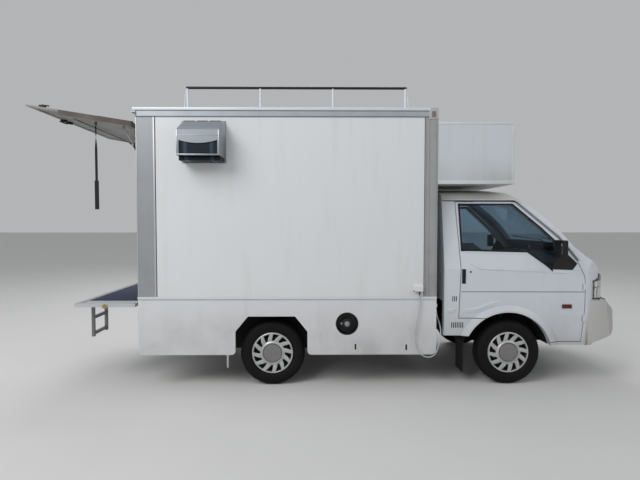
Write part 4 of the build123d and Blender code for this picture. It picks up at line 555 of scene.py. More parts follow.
for side, way in (("right", Vector((0, -1, 0))), ("left", Vector((0, 1, 0)))):
    body = f"door_{side}"
    creases = bmesh.new()
    for section, path in DOOR_CREASES:
        strip(creases, path, section, cab_skin, way, taper=0.05)
    add_piece(f"door_creases_{side}", creases, shaded_body_white, body)
    seals_and_groove_shade = bmesh.new()
    strip(seals_and_groove_shade, grown(WINDOW, 0.008), SEAL, cab_skin, way, closed=True)
    # Painted shade: a black strip along the door's pressed groove stands in for the shade in it.
    strip(seals_and_groove_shade, ((1.256, 0.890), (2.418, 0.886)), LINE, cab_skin, way)
    strip(seals_and_groove_shade, ((1.272, 1.282), (1.892, 1.268), (2.056, 1.146), (2.112, 1.092)), LIP, cab_skin, way)
    add_piece(f"door_seal_and_groove_shade_{side}", seals_and_groove_shade, black_rubber, body)
    handle = bmesh.new()
    slab(handle, (1.258, -0.001, 0.966), (1.294, 0.004, 1.104), 0.003)
    slab(handle, (1.264, 0.003, 0.986), (1.286, 0.013, 1.086), 0.005, segments=3)
    turned(handle, [(0.0, 0.003), (0.007, 0.003), (0.009, 0.001), (0.009, -0.002)], (1.340, 0.0, 1.077),
           (0, 1, 0), 20)
    for vert in handle.verts:
        vert.co.y *= way.y
    lay_on(cab_skin, handle.verts, way)
    add_piece(f"door_handle_{side}", handle, black_plastic, body)
    marker = bmesh.new()
    slab(marker, (2.208, -0.001, 0.731), (2.300, 0.008, 0.769), 0.004, segments=3)
    for vert in marker.verts:
        vert.co.y *= way.y
    lay_on(cab_skin, marker.verts, way)
    add_piece(f"door_marker_{side}", marker, marker_red, body)
    face = bmesh.new()
    slab(face, (2.1325, way.y * 0.880, 1.254), (2.136, way.y * 0.958, 1.354), 0.001)
    add_piece(f"mirror_face_{side}", face, mirror_silver, body)
gutters = bmesh.new()
gutter_lines = bmesh.new()
panel_creases = bmesh.new()
slot_shade_backs = bmesh.new()
for way in (Vector((0, -1, 0)), Vector((0, 1, 0))):
    strip(gutters, GUTTER_PATH, GUTTER, cab_skin, way)
    strip(gutter_lines, GUTTER_LINE, DRIP, cab_skin, way)
    strip(panel_creases, ((1.100, 0.716), (1.206, 0.716)), RIDGE, cab_skin, way, taper=0.012)
    # Painted shade: black backs deep in the vent slots stand in for the shade inside them.
    for slot_x, slot_z, tall, count in ((1.169, 0.798, 0.050, 3), (1.163, 0.547, 0.053, 7)):
        for i in range(count):
            left = slot_x + i * 0.0172
            slab(slot_shade_backs, (left, way.y * 0.8215, slot_z), (left + 0.009, way.y * 0.8240, slot_z + tall), 0.0004)
add_piece("cab_gutters", gutters, shaded_body_white, "body")
add_piece("cab_gutter_lines", gutter_lines, black_rubber, "body")
add_piece("cab_panel_creases", panel_creases, shaded_body_white, "body")
add_piece("air_slot_shade_backs", slot_shade_backs, black_plastic, "body")
forward = Vector((1, 0, 0))
screen_trim = bmesh.new()
strip(screen_trim, grown(((-0.560, 1.814), (0.560, 1.814), (0.690, 1.334), (-0.690, 1.334)), 0.009), SEAL, cab_skin,
      forward, closed=True)
for pivot, tip in (((-0.605, 1.352), (-0.030, 1.374)), ((0.020, 1.352), (0.575, 1.374))):
    strip(screen_trim, (pivot, tip), WIPER, cab_skin, forward)
    known = set(screen_trim.verts)
    slab(screen_trim, (0.0, pivot[0] - 0.016, pivot[1] - 0.042), (0.018, pivot[0] + 0.016, pivot[1] + 0.008), 0.005)
    lay_on(cab_skin, [vert for vert in screen_trim.verts if vert not in known], forward)
add_piece("windscreen_trim", screen_trim, black_rubber, "body")

# Bumper: one deep moulding in a warmer white than the paint, darkened as painted shade, with a slatted black
# intake, blank lamp covers and a bare plate.
bumper_white = painted("bumper_white", tint(184, 184, 182), tint(140, 132, 118), 0.0002, 0.2, 0.8)


def cad_copy(node):
    """A CAD node's mesh, its points merged."""
    form = bmesh.new()
    form.from_mesh(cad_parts[node].data)
    bmesh.ops.remove_doubles(form, verts=form.verts, dist=0.00002)
    return form


def ease(value, start, end):
    """0 below start, 1 above end and a soft run between."""
    share = min(max((value - start) / (end - start), 0.0), 1.0)
    return share * share * (3 - 2 * share)


bumper_form = cad_copy("front_bumper")
for vert in bumper_form.verts:
    side = abs(vert.co.y)
    share = ease(side, 0.15, 0.74) * (1 - 0.55 * ease(side, 0.78, 0.835)) * (1 - ease(vert.co.z, 0.66, 0.80))
    vert.co.x += 0.056 * share * ease(vert.co.x, 2.45, 2.60) - 0.0096 * ease(vert.co.x, 2.72, 2.80)
bumper = add_piece("bumper_moulding", bumper_form, bumper_white, "body", ("front_bumper",))
nose_skin = skin_of(bumper.data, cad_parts["cab_shell"].data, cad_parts["headlamps"].data)
intake = bmesh.new()
INTAKE = ((-0.062, 0.0015), (-0.03, 0.0015), (0.0, 0.0015), (0.03, 0.0015), (0.062, 0.0015), (0.062, -0.003),
          (-0.062, -0.003))
SLAT = ((-0.004, -0.002), (-0.005, 0.007), (0.003, 0.009), (0.005, -0.002))
PLATE = ((-0.067, -0.002), (-0.067, 0.004), (0.0, 0.006), (0.067, 0.004), (0.067, -0.002))
strip(intake, ((-0.440, 0.560), (0.440, 0.560)), INTAKE, nose_skin, forward)
for slat in range(5):
    level = 0.512 + slat * 0.024
    strip(intake, ((-0.425, level), (0.425, level)), SLAT, nose_skin, forward)
for side in (-1, 1):
    known = set(intake.verts)
    turned(intake, [(0.0, 0.004), (0.030, 0.0035), (0.036, 0.007), (0.043, 0.007), (0.047, 0.002), (0.047, -0.002)],
           (0.0, side * 0.585, 0.560), (1, 0, 0), 32)
    lay_on(nose_skin, [vert for vert in intake.verts if vert not in known], forward)
add_piece("bumper_intake", intake, black_plastic, "body")
plate_white = moulded("plate_white", tint(214, 214, 208), 0.35, 200.0, 0.05)
plate = bmesh.new()
strip(plate, ((-0.186, 0.700), (0.186, 0.700)), PLATE, nose_skin, forward)
add_piece("front_plate", plate, plate_white, "body")

# Headlamps: clear moulded lenses over two silvered bowls each, framed in black rubber, with a rubber strip on
# the bumper's top edge below them. Their tops rise forward into the nose.
lamp_form = cad_copy("headlamps")
for vert in lamp_form.verts:
    if vert.co.z > 0.985:
        lift = 0.046 * ease(vert.co.x, 2.52, 2.64)
        vert.co += Vector((-0.55 * lift * (1 - ease(abs(vert.co.y), 0.64, 0.70)), 0, lift))
lamp_skin = BVHTree.FromBMesh(lamp_form)
BORDER = ((-0.0045, -0.002), (-0.0045, 0.001), (0.0045, 0.001), (0.0045, -0.002))
lamp_borders = bmesh.new()
strip(lamp_borders, ((-0.770, 0.8065), (0.770, 0.8065)), LINE, nose_skin, forward)
for side in (-1, 1):
    front = ((side * 0.409, 0.981), (side * 0.409, 0.822), (side * 0.745, 0.822))
    strip(lamp_borders, front, LINE, lamp_skin, forward)
    strip(lamp_borders, ((2.580, 0.822), (2.514, 0.822), (2.514, 0.984), (2.580, 0.998)), BORDER, lamp_skin,
          Vector((0, side, 0)))
add_piece("headlamp_borders", lamp_borders, black_rubber, "body")
lamp_clear = Finish("lamp_clear", Coat_Weight=1.0, Coat_Roughness=0.03, Roughness=0.16, Metallic=0.4)
lamp_x, lamp_z = lamp_clear.axes("XZ")
flutes = lamp_clear.noise(60.0, 2.0, 0.5, lamp_clear.stretched((0.3, 1.0, 0.12)))
facets = lamp_clear.fade(flutes, 0.42, 0.58)
# Painted reflection: light and darker facets stand in for the silvered bowls behind the lens.
bowl_reflection = lamp_clear.mix(facets, tint(226, 229, 232), tint(150, 156, 164))
# Painted shade: a dark band across the lens between the bowls.
bowl_gap_shade = lamp_clear.fade(abs(lamp_z - 0.925), 0.004, 0.012, 1.0, 0.0)
rim = lamp_clear.fade(abs(lamp_z - 0.903), 0.078, 0.086)
amber = lamp_clear.fade(lamp_x, 2.530, 2.545, 1.0, 0.0)
shades = lamp_clear.mix(bowl_gap_shade * 0.7, lamp_clear.mix(amber * 0.25, bowl_reflection, tint(196, 150, 96)), tint(92, 96, 102))
lamp_clear.set(Base_Color=lamp_clear.mix(rim, shades, tint(34, 35, 38)))
lamp_clear.bump(flutes, 0.4, 0.002)
add_piece("headlamp_lenses", lamp_form, lamp_clear, "body", ("headlamps",))

# Cab and door glass: a laminated windscreen and toughened side panes, tinted, bedded in rubber and lightly
# filmed with dust.
glass = Finish("tinted_glass", Transmission_Weight=1.0, IOR=1.3)
film = glass.noise(3.0, 5.0)
glass.set(Base_Color=glass.mix(glass.fade(film, 0.4, 0.8, 0.0, 0.4), tint(176, 196, 208), tint(152, 166, 174)),
          Roughness=glass.fade(film, 0.4, 0.9, 0.0, 0.06))
dress(glass, "cab_glass", "door_glass_right", "door_glass_left")

# Mirrors, dashboard and cab floor: black and grey textured plastic, and rubber mat. The mirror heads are moulded
# shells with rounded edges, on arms that are fixed to the doors.
for side in ("right", "left"):
    mirror_form = cad_copy(f"door_mirror_{side}")
    bmesh.ops.dissolve_limit(mirror_form, angle_limit=radians(3), verts=mirror_form.verts, edges=mirror_form.edges)
    for vert in mirror_form.verts:
        vert.co.x += (2.205 - vert.co.x) * 0.36 * ease(abs(vert.co.y), 0.83, 0.87)
    corners = [edge for edge in mirror_form.edges if len(edge.link_faces) == 2
               and edge.calc_face_angle(0.0) > radians(30)
               and min(abs(vert.co.y) for vert in edge.verts) > 0.862]
    bmesh.ops.bevel(mirror_form, geom=corners, offset=0.014, offset_type="OFFSET", segments=4, profile=0.5,
                    affect="EDGES", material=-1, clamp_overlap=True)
    add_piece(f"mirror_housing_{side}", mirror_form, black_plastic, f"door_{side}",
              (f"door_mirror_{side}",))
dash_plastic = moulded("dash_plastic", tint(52, 54, 57), 0.6, 400.0, 0.3)
dress(dash_plastic, "dashboard")
mat_rubber = moulded("mat_rubber", tint(44, 44, 45), 0.75, 200.0, 0.3)
dress(mat_rubber, "cab_floor")

# Steering wheel: a foamed rim on two spokes round a soft centre pad, moulded over a steel frame and fixed to
# its steel column.
steering_form = bmesh.new()
wheel_way = Vector((-cos(radians(50)), 0, sin(radians(50))))
WHEEL_HUB = Vector((1.960, -0.360, 1.174)) + wheel_way * 0.012
grip = [(0.179 + 0.011 * cos(step * pi / 6), 0.011 * sin(step * pi / 6)) for step in range(13)]
turned(steering_form, grip, WHEEL_HUB, wheel_way, 48)
turned(steering_form, [(0.0, 0.011), (0.040, 0.009), (0.058, 0.003), (0.060, -0.006), (0.045, -0.010),
                       (0.025, -0.012)], WHEEL_HUB, wheel_way, 32)
turned(steering_form, [(0.024, -0.012), (0.024, -0.700)], WHEEL_HUB, wheel_way, 24)
turn = Matrix.Translation(WHEEL_HUB) @ Vector((0, 0, 1)).rotation_difference(wheel_way).to_matrix().to_4x4()
for side in (-1, 1):
    slab(steering_form, (-0.016, side * 0.050, -0.008), (0.016, side * 0.175, 0.004), 0.004, turn)
add_piece("steering_rim", steering_form, black_plastic, "body", ("steering_wheel",))

# Seats: foam pads in woven grey cloth, with a sewn border round each pad and two channels across it. Each
# headrest stands on two steel posts.
seat_cloth = Finish("seat_cloth", Roughness=0.9)
weave = seat_cloth.node("ShaderNodeTexWave", {"bands_direction": "DIAGONAL"}, {
    "Vector": seat_cloth.place(), "Scale": 160.0, "Distortion": 1.0})
wear = seat_cloth.noise(5.0, 5.0)
seat_cloth.set(Base_Color=seat_cloth.mix(seat_cloth.fade(wear, 0.4, 0.8, 0.0, 0.5),
                                         seat_cloth.mix(weave, tint(150, 149, 147), tint(112, 112, 114)),
                                         tint(128, 122, 114)))
seat_cloth.bump(weave, 0.3, 0.001)
SEAT_PADS = (
    # name, low corner, high corner, axis that the pad is thin along
    ("driver_cushion", (1.296, -0.632, 0.838), (1.786, -0.138, 0.962), 2),
    ("driver_back", (1.184, -0.632, 0.838), (1.286, -0.138, 1.330), 0),
    ("passenger_cushion", (1.296, -0.017, 0.838), (1.786, 0.637, 0.962), 2),
    ("passenger_back", (1.184, -0.017, 0.838), (1.286, 0.637, 1.330), 0),
    ("driver_headrest", (1.190, -0.510, 1.350), (1.272, -0.260, 1.520), 0),
    ("passenger_headrest", (1.190, 0.330, 1.350), (1.272, 0.580, 1.520), 0),
)
for number, (name, low, high, thin) in enumerate(SEAT_PADS):
    low, high = Vector(low), Vector(high)
    inside = Vector([0.010 if axis != thin else 0.014 for axis in range(3)])
    pad_form = bmesh.new()
    slab(pad_form, low + inside, high - inside, 0.022, segments=4)
    mesh = bpy.data.meshes.new(name)
    pad_form.to_mesh(mesh)
    pad_form.free()
    pad = bpy.data.objects.new(f"seat_{name}", mesh)
    bpy.context.collection.objects.link(pad)
    remesh = pad.modifiers.new("even", "REMESH")
    remesh.mode = "VOXEL"
    remesh.voxel_size = 0.006
    cloth = pad.modifiers.new("swell", "CLOTH")
    cloth.settings.use_pressure = True
    cloth.settings.uniform_pressure_force = 4.0
    cloth.settings.effector_weights.gravity = 0.0
    cloth.settings.tension_stiffness = 30.0
    cloth.settings.compression_stiffness = 30.0
    cloth.settings.shear_stiffness = 10.0
    cloth.settings.bending_stiffness = 1.0
    for step in range(1, 21):
        bpy.context.scene.frame_set(step)
    shape = bpy.data.meshes.new_from_object(pad.evaluated_get(bpy.context.evaluated_depsgraph_get()))
    pad.modifiers.clear()
    pad.data = shape
    bpy.context.scene.frame_set(1)
    pad_form = bmesh.new()
    pad_form.from_mesh(shape)
    centre = (low + high) / 2
    across = [axis for axis in range(3) if axis != thin]
    for vert in pad_form.verts:
        for axis in range(3):
            vert.co[axis] = min(max(vert.co[axis], low[axis] + 0.001), high[axis] - 0.001)
        reach = [abs(vert.co[axis] - centre[axis]) / ((high[axis] - low[axis]) / 2) for axis in across]
        faced = 1 if vert.co[thin] > centre[thin] else -1
        if max(reach) < 0.99 and abs(vert.co[thin] - centre[thin]) > 0.3 * (high[thin] - low[thin]):
            seam = max(0.0, 1 - abs(max(reach) - 0.80) / 0.035)
            for channel in (-0.30, 0.30):
                spot = (vert.co[across[-1]] - centre[across[-1]]) / ((high[across[-1]] - low[across[-1]]) / 2)
                if "headrest" not in name and max(reach) < 0.80:
                    seam = max(seam, 1 - abs(spot - channel) / 0.035)
            vert.co[thin] -= faced * 0.009 * seam * seam * (3 - 2 * seam)
    pad_form.to_mesh(shape)
    pad_form.free()
    shape.shade_smooth()
    shape.materials.clear()
    shape.materials.append(seat_cloth.material)
    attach(pad, "body")
    if number == 0:
        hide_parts("seats")
seat_posts = bmesh.new()
for post_y in (-0.435, -0.335, 0.405, 0.505):
    turned(seat_posts, [(0.0, 0.052), (0.006, 0.052), (0.006, 0.0), (0.0, 0.0)], (1.232, post_y, 1.312),
           (0, 0, 1), 12)
add_piece("headrest_posts", seat_posts, rim_steel, "body")

# Box body: white faced insulated panels between grey anodised posts. The front posts are fluted extrusions, the
# rear ones flat with a paler bead along their front edge.
panel_white = painted("panel_white", tint(216, 218, 220), tint(158, 153, 144), 0.0012, 0.3, 1.1)
dress(panel_white, "box_wall_right", "box_wall_left", "box_roof", "serving_hatch")
# Painted shade: the locker is the box's white panel, tinted darker and cooler.
dress(painted("locker_shaded_white", tint(198, 203, 209), tint(150, 146, 138), 0.0008, 1.9, 2.2), "over_cab_box")
skirt_white = painted("skirt_white", tint(210, 212, 215), tint(140, 134, 126), 0.0005, 0.3, 0.9)
dress(skirt_white, "box_skirts")


def anodised(name, colour, worn, beyond=None, panel=None):
    """Anodised aluminium with faint lines along its height. Within beyond of the centre line it is a panel."""
    finish = Finish(name, Coat_Weight=0.1)
    lines = finish.noise(60.0, 3.0, 0.6, finish.stretched((4.0, 4.0, 0.06)))
    stains = finish.noise(4.0, 5.0, 0.6)
    base = finish.mix(lines * 0.5, finish.mix(finish.fade(stains, 0.45, 0.8, 0.0, 0.5), colour, worn), worn)
    if beyond:
        across = abs(finish.axes("Y"))
        at_side = across.math("GREATER_THAN", across, beyond)
        finish.set(Base_Color=finish.mix(at_side, panel, base), Metallic=at_side * 0.35,
                   Roughness=0.5 - at_side * 0.12)
    else:
        finish.set(Base_Color=base, Metallic=0.35, Roughness=lines * 0.12 + 0.34)
    finish.bump(lines, 0.15, 0.0006)
    return finish


# The rear posts' anodised grey, partly deepened as painted shade.
post_grey = anodised("post_grey", tint(160, 162, 166), tint(132, 134, 138))
dress(post_grey, "box_rear_frame")
front_grey = anodised("front_grey", tint(172, 174, 175), tint(140, 141, 142))
dress(anodised("front_wall", tint(172, 174, 175), tint(140, 141, 142), 0.812, tint(214, 215, 216)), "box_front_wall")
pale_metal = anodised("pale_metal", tint(186, 188, 190), tint(164, 164, 163))
POST_LOW = 0.8545
POST_HIGH = 2.5065


def drawn(bm, outline, push, edge=0.0):
    """A solid drawn out from a flat outline along push, its edges eased."""
    face = bm.faces.new([bm.verts.new(point) for point in outline])
    grown_part = bmesh.ops.extrude_face_region(bm, geom=[face])["geom"]
    ends = [part for part in grown_part if isinstance(part, bmesh.types.BMVert)]
    bmesh.ops.translate(bm, vec=push, verts=ends)
    if edge:
        edges = list({part for vert in ends + list(face.verts) for part in vert.link_edges})
        bmesh.ops.bevel(bm, geom=edges, offset=edge, offset_type="OFFSET", segments=2, profile=0.5, affect="EDGES",
                        material=-1, clamp_overlap=True)


FRONT_POST_SECTION = (
    # x, out from the post's face
    (0.888, -0.001), (0.888, 0.0045), (0.896, 0.0045), (0.898, 0.0008), (0.905, 0.0008), (0.907, 0.0045),
    (0.918, 0.0055), (0.926, 0.0045), (0.928, 0.0008), (0.934, 0.0008), (0.936, 0.0040), (0.962, 0.0052),
    (0.990, 0.0040), (0.992, 0.0012), (0.996, 0.0012), (0.998, 0.0050), (1.0055, 0.0050), (1.0055, -0.001),
)
front_posts = bmesh.new()
rear_beads = bmesh.new()
post_seals = bmesh.new()
for side in (-1, 1):
    drawn(front_posts, [(x, side * (0.880 + out), POST_LOW) for x, out in FRONT_POST_SECTION],
          (0, 0, POST_HIGH - POST_LOW))
    slab(rear_beads, (-1.606, side * 0.879, POST_LOW), (-1.589, side * 0.884, POST_HIGH), 0.002)
    slab(rear_beads, (-1.762, side * 0.879, POST_LOW), (-1.753, side * 0.883, POST_HIGH), 0.002)
    slab(post_seals, (-1.588, side * 0.879, POST_LOW), (-1.5835, side * 0.8815, POST_HIGH), 0.0006)
    slab(post_seals, (0.8835, side * 0.879, POST_LOW), (0.8875, side * 0.8815, POST_HIGH), 0.0006)
add_piece("front_post_flutes", front_posts, front_grey, "body")
add_piece("rear_post_beads", rear_beads, pale_metal, "body")
add_piece("post_seals", post_seals, black_rubber, "body")

# Roof moulding: a silver extrusion between two black rubber inserts, capped at the front corners, with the edge
# of the white roof skin folded over its top.
dress(anodised("moulding_silver", tint(178, 186, 194), tint(152, 156, 160)), "roof_moulding")
moulding_lines = bmesh.new()
roof_edges = bmesh.new()
corner_caps = bmesh.new()
cap_faces = bmesh.new()
for low, high in ((2.5070, 2.5125), (2.5590, 2.5645)):
    for side in (-1, 1):
        slab(moulding_lines, (-1.752, side * 0.885, low), (0.924, side * 0.8885, high), 0.0008)
    slab(moulding_lines, (1.005, -0.860, low), (1.0085, 0.860, high), 0.0008)
for side in (-1, 1):
    slab(roof_edges, (-1.790, side * 0.868, 2.5650), (0.930, side * 0.8895, 2.5915), 0.003)
    slab(moulding_lines, (-1.760, side * 0.884, 2.5070), (-1.752, side * 0.890, 2.5640), 0.001)
    slab(corner_caps, (0.924, side * 0.868, 2.4860), (1.0090, side * 0.8905, 2.5925), 0.006, segments=3)
    slab(cap_faces, (0.945, side * 0.888, 2.5050), (0.985, side * 0.8925, 2.5600), 0.003)
slab(roof_edges, (0.990, -0.868, 2.5650), (1.0095, 0.868, 2.5915), 0.003)
insert_grey = moulded("insert_grey", tint(96, 98, 101), 0.6)
add_piece("moulding_inserts", moulding_lines, insert_grey, "body")
roof_skin = painted("roof_skin", tint(206, 214, 222), tint(180, 176, 168), 0.0, 2.4, 2.6)
add_piece("roof_edges", roof_edges, roof_skin, "body")
add_piece("moulding_caps", corner_caps, pale_metal, "body")
worn_grey = moulded("worn_grey", tint(118, 108, 98), 0.6, 300.0, 0.2)
add_piece("moulding_cap_faces", cap_faces, worn_grey, "body")

# Roof rails: black sleeved bars on white steel posts, whose round feet are fixed to the roof. Each end post is
# braced by a second thin leg.
RAIL_POSTS = (-1.306, -0.632, 0.042, 0.716)
rail_bars = bmesh.new()
rail_posts = bmesh.new()
for side in (-1, 1):
    y = side * 0.800
    turned(rail_bars, [(0.0, 0.0), (0.010, 0.0), (0.012, 0.002), (0.012, 2.044), (0.010, 2.046), (0.0, 2.046)],
           (-1.318, y, 2.789), (1, 0, 0), 24)
    for x in RAIL_POSTS:
        turned(rail_posts, [(0.0, 0.0), (0.022, 0.0), (0.022, 0.005), (0.011, 0.006), (0.010, 0.010), (0.010, 0.200),
                            (0.0, 0.200)], (x, y, 2.5845), (0, 0, 1), 20)
    for x, lean in ((RAIL_POSTS[0], -1), (RAIL_POSTS[-1], 1)):
        foot = Vector((x + lean * 0.034, y, 2.5850))
        head = Vector((x + lean * 0.011, y, 2.7820))
        turned(rail_posts, [(0.0, 0.0), (0.0045, 0.0), (0.0045, (head - foot).length), (0.0, (head - foot).length)],
               foot, head - foot, 12)
add_piece("roof_rail_bars", rail_bars, black_plastic, "body", ("roof_rails",))
add_piece("roof_rail_posts", rail_posts, roof_skin, "body", ("roof_rails",))

# Locker over the cab: white panels bolted to the front wall, with folded angles of pale painted sheet along
# their edges.
locker_angles = bmesh.new()
for side in (-1, 1):
    y = side * 0.880
    for low, high in (((1.008, 2.443), (1.7135, 2.4655)), ((1.008, 1.8965), (1.7135, 1.930)),
                      ((1.690, 1.8975), (1.7130, 2.4645)), ((1.0085, 1.8975), (1.022, 2.4645))):
        rise = 0.0024 if high[0] - low[0] > 0.1 else 0.0018
        slab(locker_angles, (low[0], y - side * 0.004, low[1]), (high[0], y + side * rise, high[1]), 0.001)
    slab(locker_angles, (1.7125, side * 0.8805, 1.8975), (1.7160, side * 0.8560, 2.4645), 0.001)
    slab(locker_angles, (1.008, side * 0.881, 2.4640), (1.7160, side * 0.858, 2.4665), 0.0008)
for low, high in ((2.443, 2.4665), (1.8965, 1.930)):
    slab(locker_angles, (1.7130, -0.8810, low), (1.7165, 0.8810, high), 0.001)
add_piece("locker_angles", locker_angles, roof_skin, "body")

# Belt and skirts: white sheet with two small drain slots, a steel bracket below and a round black filler recess
# with a locking cap.
skirt_bits = bmesh.new()
for x, z in ((0.252, 0.383), (0.727, 0.377)):
    slab(skirt_bits, (x - 0.008, -0.8815, z - 0.026), (x + 0.008, -0.879, z + 0.026), 0.0075, segments=4)
FILLER = (0.173, -0.880, 0.600)
turned(skirt_bits, [(0.1060, -0.001), (0.1050, 0.002), (0.0990, 0.0025), (0.0965, -0.001), (0.0950, -0.044),
                    (0.0900, -0.050), (0.045, -0.050), (0.041, -0.046), (0.038, -0.030), (0.0335, -0.030)],
       FILLER, (0, -1, 0), 48)
add_piece("skirt_fittings", skirt_bits, black_plastic, "body")
stainless = Finish("stainless", Metallic=0.85)
brush = stainless.noise(30.0, 3.0, 0.5, stainless.stretched((1.0, 1.0, 30.0)))
stainless.set(Base_Color=stainless.mix(brush, tint(172, 178, 184), tint(146, 152, 158)), Roughness=brush * 0.2 + 0.28)
filler_cap = bmesh.new()
turned(filler_cap, [(0.0, 0.014), (0.006, 0.014), (0.008, 0.011), (0.020, 0.010), (0.024, 0.006), (0.0265, 0.0),
                    (0.0265, -0.022)], (FILLER[0], -0.8885, FILLER[2]), (0, -1, 0), 32)
slab(filler_cap, (0.168, -0.9045, 0.578), (0.178, -0.8980, 0.622), 0.003)
turned(filler_cap, [(0.0, 0.030), (0.010, 0.028), (0.014, 0.020), (0.014, 0.0)], (0.125, -0.834, 0.597),
       (0, -1, 0), 20)
add_piece("filler_cap_lock", filler_cap, stainless, "body")
bracket = bmesh.new()
slab(bracket, (-0.949, -0.872, 0.186), (-0.932, -0.867, 0.330), 0.0015)
slab(bracket, (-0.956, -0.8735, 0.300), (-0.925, -0.8590, 0.330), 0.002)
add_piece("skirt_bracket", bracket, pale_metal, "body")

# Power inlet: a white moulded box with a hood, fixed to the wall through its flange and open below where the
# lead plugs in.
white_plastic = moulded("white_plastic", tint(214, 215, 216), 0.4, 300.0, 0.1)
dress(white_plastic, "power_inlet")
inlet_mouth = bmesh.new()
slab(inlet_mouth, (0.803, -0.921, 0.9020), (0.866, -0.884, 0.9070), 0.001)
slab(inlet_mouth, (0.790, -0.884, 0.9000), (0.879, -0.879, 0.9120), 0.001)
add_piece("inlet_mouth", inlet_mouth, black_plastic, "body")
inlet_flange = bmesh.new()
slab(inlet_flange, (0.788, -0.883, 0.900), (0.881, -0.879, 0.972), 0.0015)
slab(inlet_flange, (0.792, -0.9252, 0.948), (0.877, -0.9235, 0.9520), 0.0005)
add_piece("inlet_flange", inlet_flange, white_plastic, "body")

# Vent cowl: a hood of folded stainless sheet, riveted to the wall along both sides. A curved baffle shows dark
# in its mouth, over a bright lip: its dark, and a dark block in the hood's open bottom, are painted shade, and
# two light streaks on the baffle are a painted reflection.
cowl_form = cad_copy("vent_cowl")
for vert in cowl_form.verts:
    vert.co.y += 0.0018 * ease(-vert.co.y, 1.08, 1.10)
add_piece("cowl_sheet", cowl_form, stainless, "body", ("vent_cowl",), 8.0)
COWL_LOW_X, COWL_HIGH_X = -1.329, -0.953
cowl_trim = bmesh.new()
slab(cowl_trim, (COWL_LOW_X + 0.001, -1.1098, 2.1285), (COWL_HIGH_X - 0.001, -1.1050, 2.1395), 0.002)
slab(cowl_trim, (COWL_LOW_X + 0.004, -1.1099, 2.2970), (COWL_HIGH_X - 0.004, -1.1070, 2.3010), 0.001)
for x in (COWL_LOW_X, COWL_HIGH_X - 0.0125):
    slab(cowl_trim, (x, -1.1097, 2.1290), (x + 0.0125, -1.1070, 2.3470), 0.001)
for step in range(7):
    for x in (COWL_LOW_X - 0.0075, COWL_HIGH_X + 0.0075):
        turned(cowl_trim, [(0.0, 0.0022), (0.002, 0.0018), (0.0032, 0.0)], (x, -0.8838, 2.105 + step * 0.057),
               (0, -1, 0), 10)
add_piece("cowl_trim", cowl_trim, stainless, "body")
# Painted shade: a dark baffle in the hood's mouth and a dark block in its open bottom. Dark dashes also run along its
# top edge.
mouth_shade_and_dashes_form = bmesh.new()
drawn(mouth_shade_and_dashes_form, [(COWL_LOW_X + 0.012, y, z) for y, z in (
    (-1.098, 2.140), (-1.098, 2.262), (-1.090, 2.262), (-1.082, 2.200), (-1.090, 2.140))],
      (COWL_HIGH_X - COWL_LOW_X - 0.024, 0, 0))
slab(mouth_shade_and_dashes_form, (COWL_LOW_X + 0.006, -1.104, 2.1300), (COWL_HIGH_X - 0.006, -0.886, 2.1330), 0.001)
slab(mouth_shade_and_dashes_form, (COWL_LOW_X + 0.006, -1.060, 2.0880), (COWL_HIGH_X - 0.006, -0.885, 2.1300), 0.004)
for start in (-1.322, -1.203, -1.084):
    slab(mouth_shade_and_dashes_form, (start, -0.8860, 2.4665), (start + 0.100, -0.8800, 2.4705), 0.001)
mouth_shade_and_dashes = Finish("mouth_shade_and_dashes", Metallic=0.7)
# Painted reflection: two light streaks on the dark baffle.
painted_glint = mouth_shade_and_dashes.fade(abs(abs(mouth_shade_and_dashes.axes("X") + 1.141) - 0.115), 0.0, 0.028, 1.0, 0.0)
mouth_shade_and_dashes.set(Base_Color=mouth_shade_and_dashes.mix(painted_glint * 0.3 + mouth_shade_and_dashes.noise(12.0, 3.0) * 0.06, tint(24, 32, 40),
                                           tint(96, 112, 124)), Roughness=0.5 - painted_glint * 0.15)
add_piece("cowl_mouth_shade_and_dashes", mouth_shade_and_dashes_form, mouth_shade_and_dashes, "body")

# Rear flap: a panel in a dark brown painted steel frame, pale underneath, with a latch at its free edge, a
# rubber seal below and three strap hinges on top.
def flap_finish(name, colour, worn):
    """Paint worn in soft patches."""
    finish = Finish(name, Coat_Weight=0.1)
    shade = finish.noise(7.0, 5.0, 0.6)
    finish.set(Base_Color=finish.mix(finish.fade(shade, 0.4, 0.75), colour, worn), Roughness=shade * 0.3 + 0.4)
    finish.bump(finish.noise(140.0, 3.0), 0.2, 0.0006)
    return finish


flap_brown = flap_finish("flap_brown", tint(66, 56, 50), tint(92, 82, 74))
flap_pale = flap_finish("flap_pale", tint(136, 135, 132), tint(116, 112, 106))
flap_form = cad_copy("rear_flap")
bmesh.ops.dissolve_limit(flap_form, angle_limit=radians(1), verts=flap_form.verts, edges=flap_form.edges)
FLAP_TURN = Matrix.Translation((-1.796, 0, 2.441)) @ Matrix.Rotation(radians(9), 4, "Y")
for along in (0.668, 0.680):
    bmesh.ops.bisect_plane(flap_form, geom=flap_form.verts[:] + flap_form.edges[:] + flap_form.faces[:],
                           plane_co=FLAP_TURN @ Vector((-along, 0, 0)),
                           plane_no=FLAP_TURN.to_3x3() @ Vector((1, 0, 0)))
for vert in flap_form.verts:
    spot = FLAP_TURN.inverted() @ vert.co
    if spot.x < -0.679:
        spot.z = 0.0225 + (spot.z - 0.0225) * (0.46 - 0.16 * ease(-spot.x, 0.68, 1.03))
        spot.x = -0.680 + (spot.x + 0.680) * 0.84
        vert.co = FLAP_TURN @ spot
bmesh.ops.recalc_face_normals(flap_form, faces=flap_form.faces)
for face in flap_form.faces:
    spot = FLAP_TURN.inverted() @ face.calc_center_median()
    faced = FLAP_TURN.to_3x3().inverted() @ face.normal
    flank = abs(faced.y) > 0.5 and abs(spot.y) > 0.876 and spot.x > -0.680
    face.material_index = 0 if faced.z > 0.5 or flank else 1
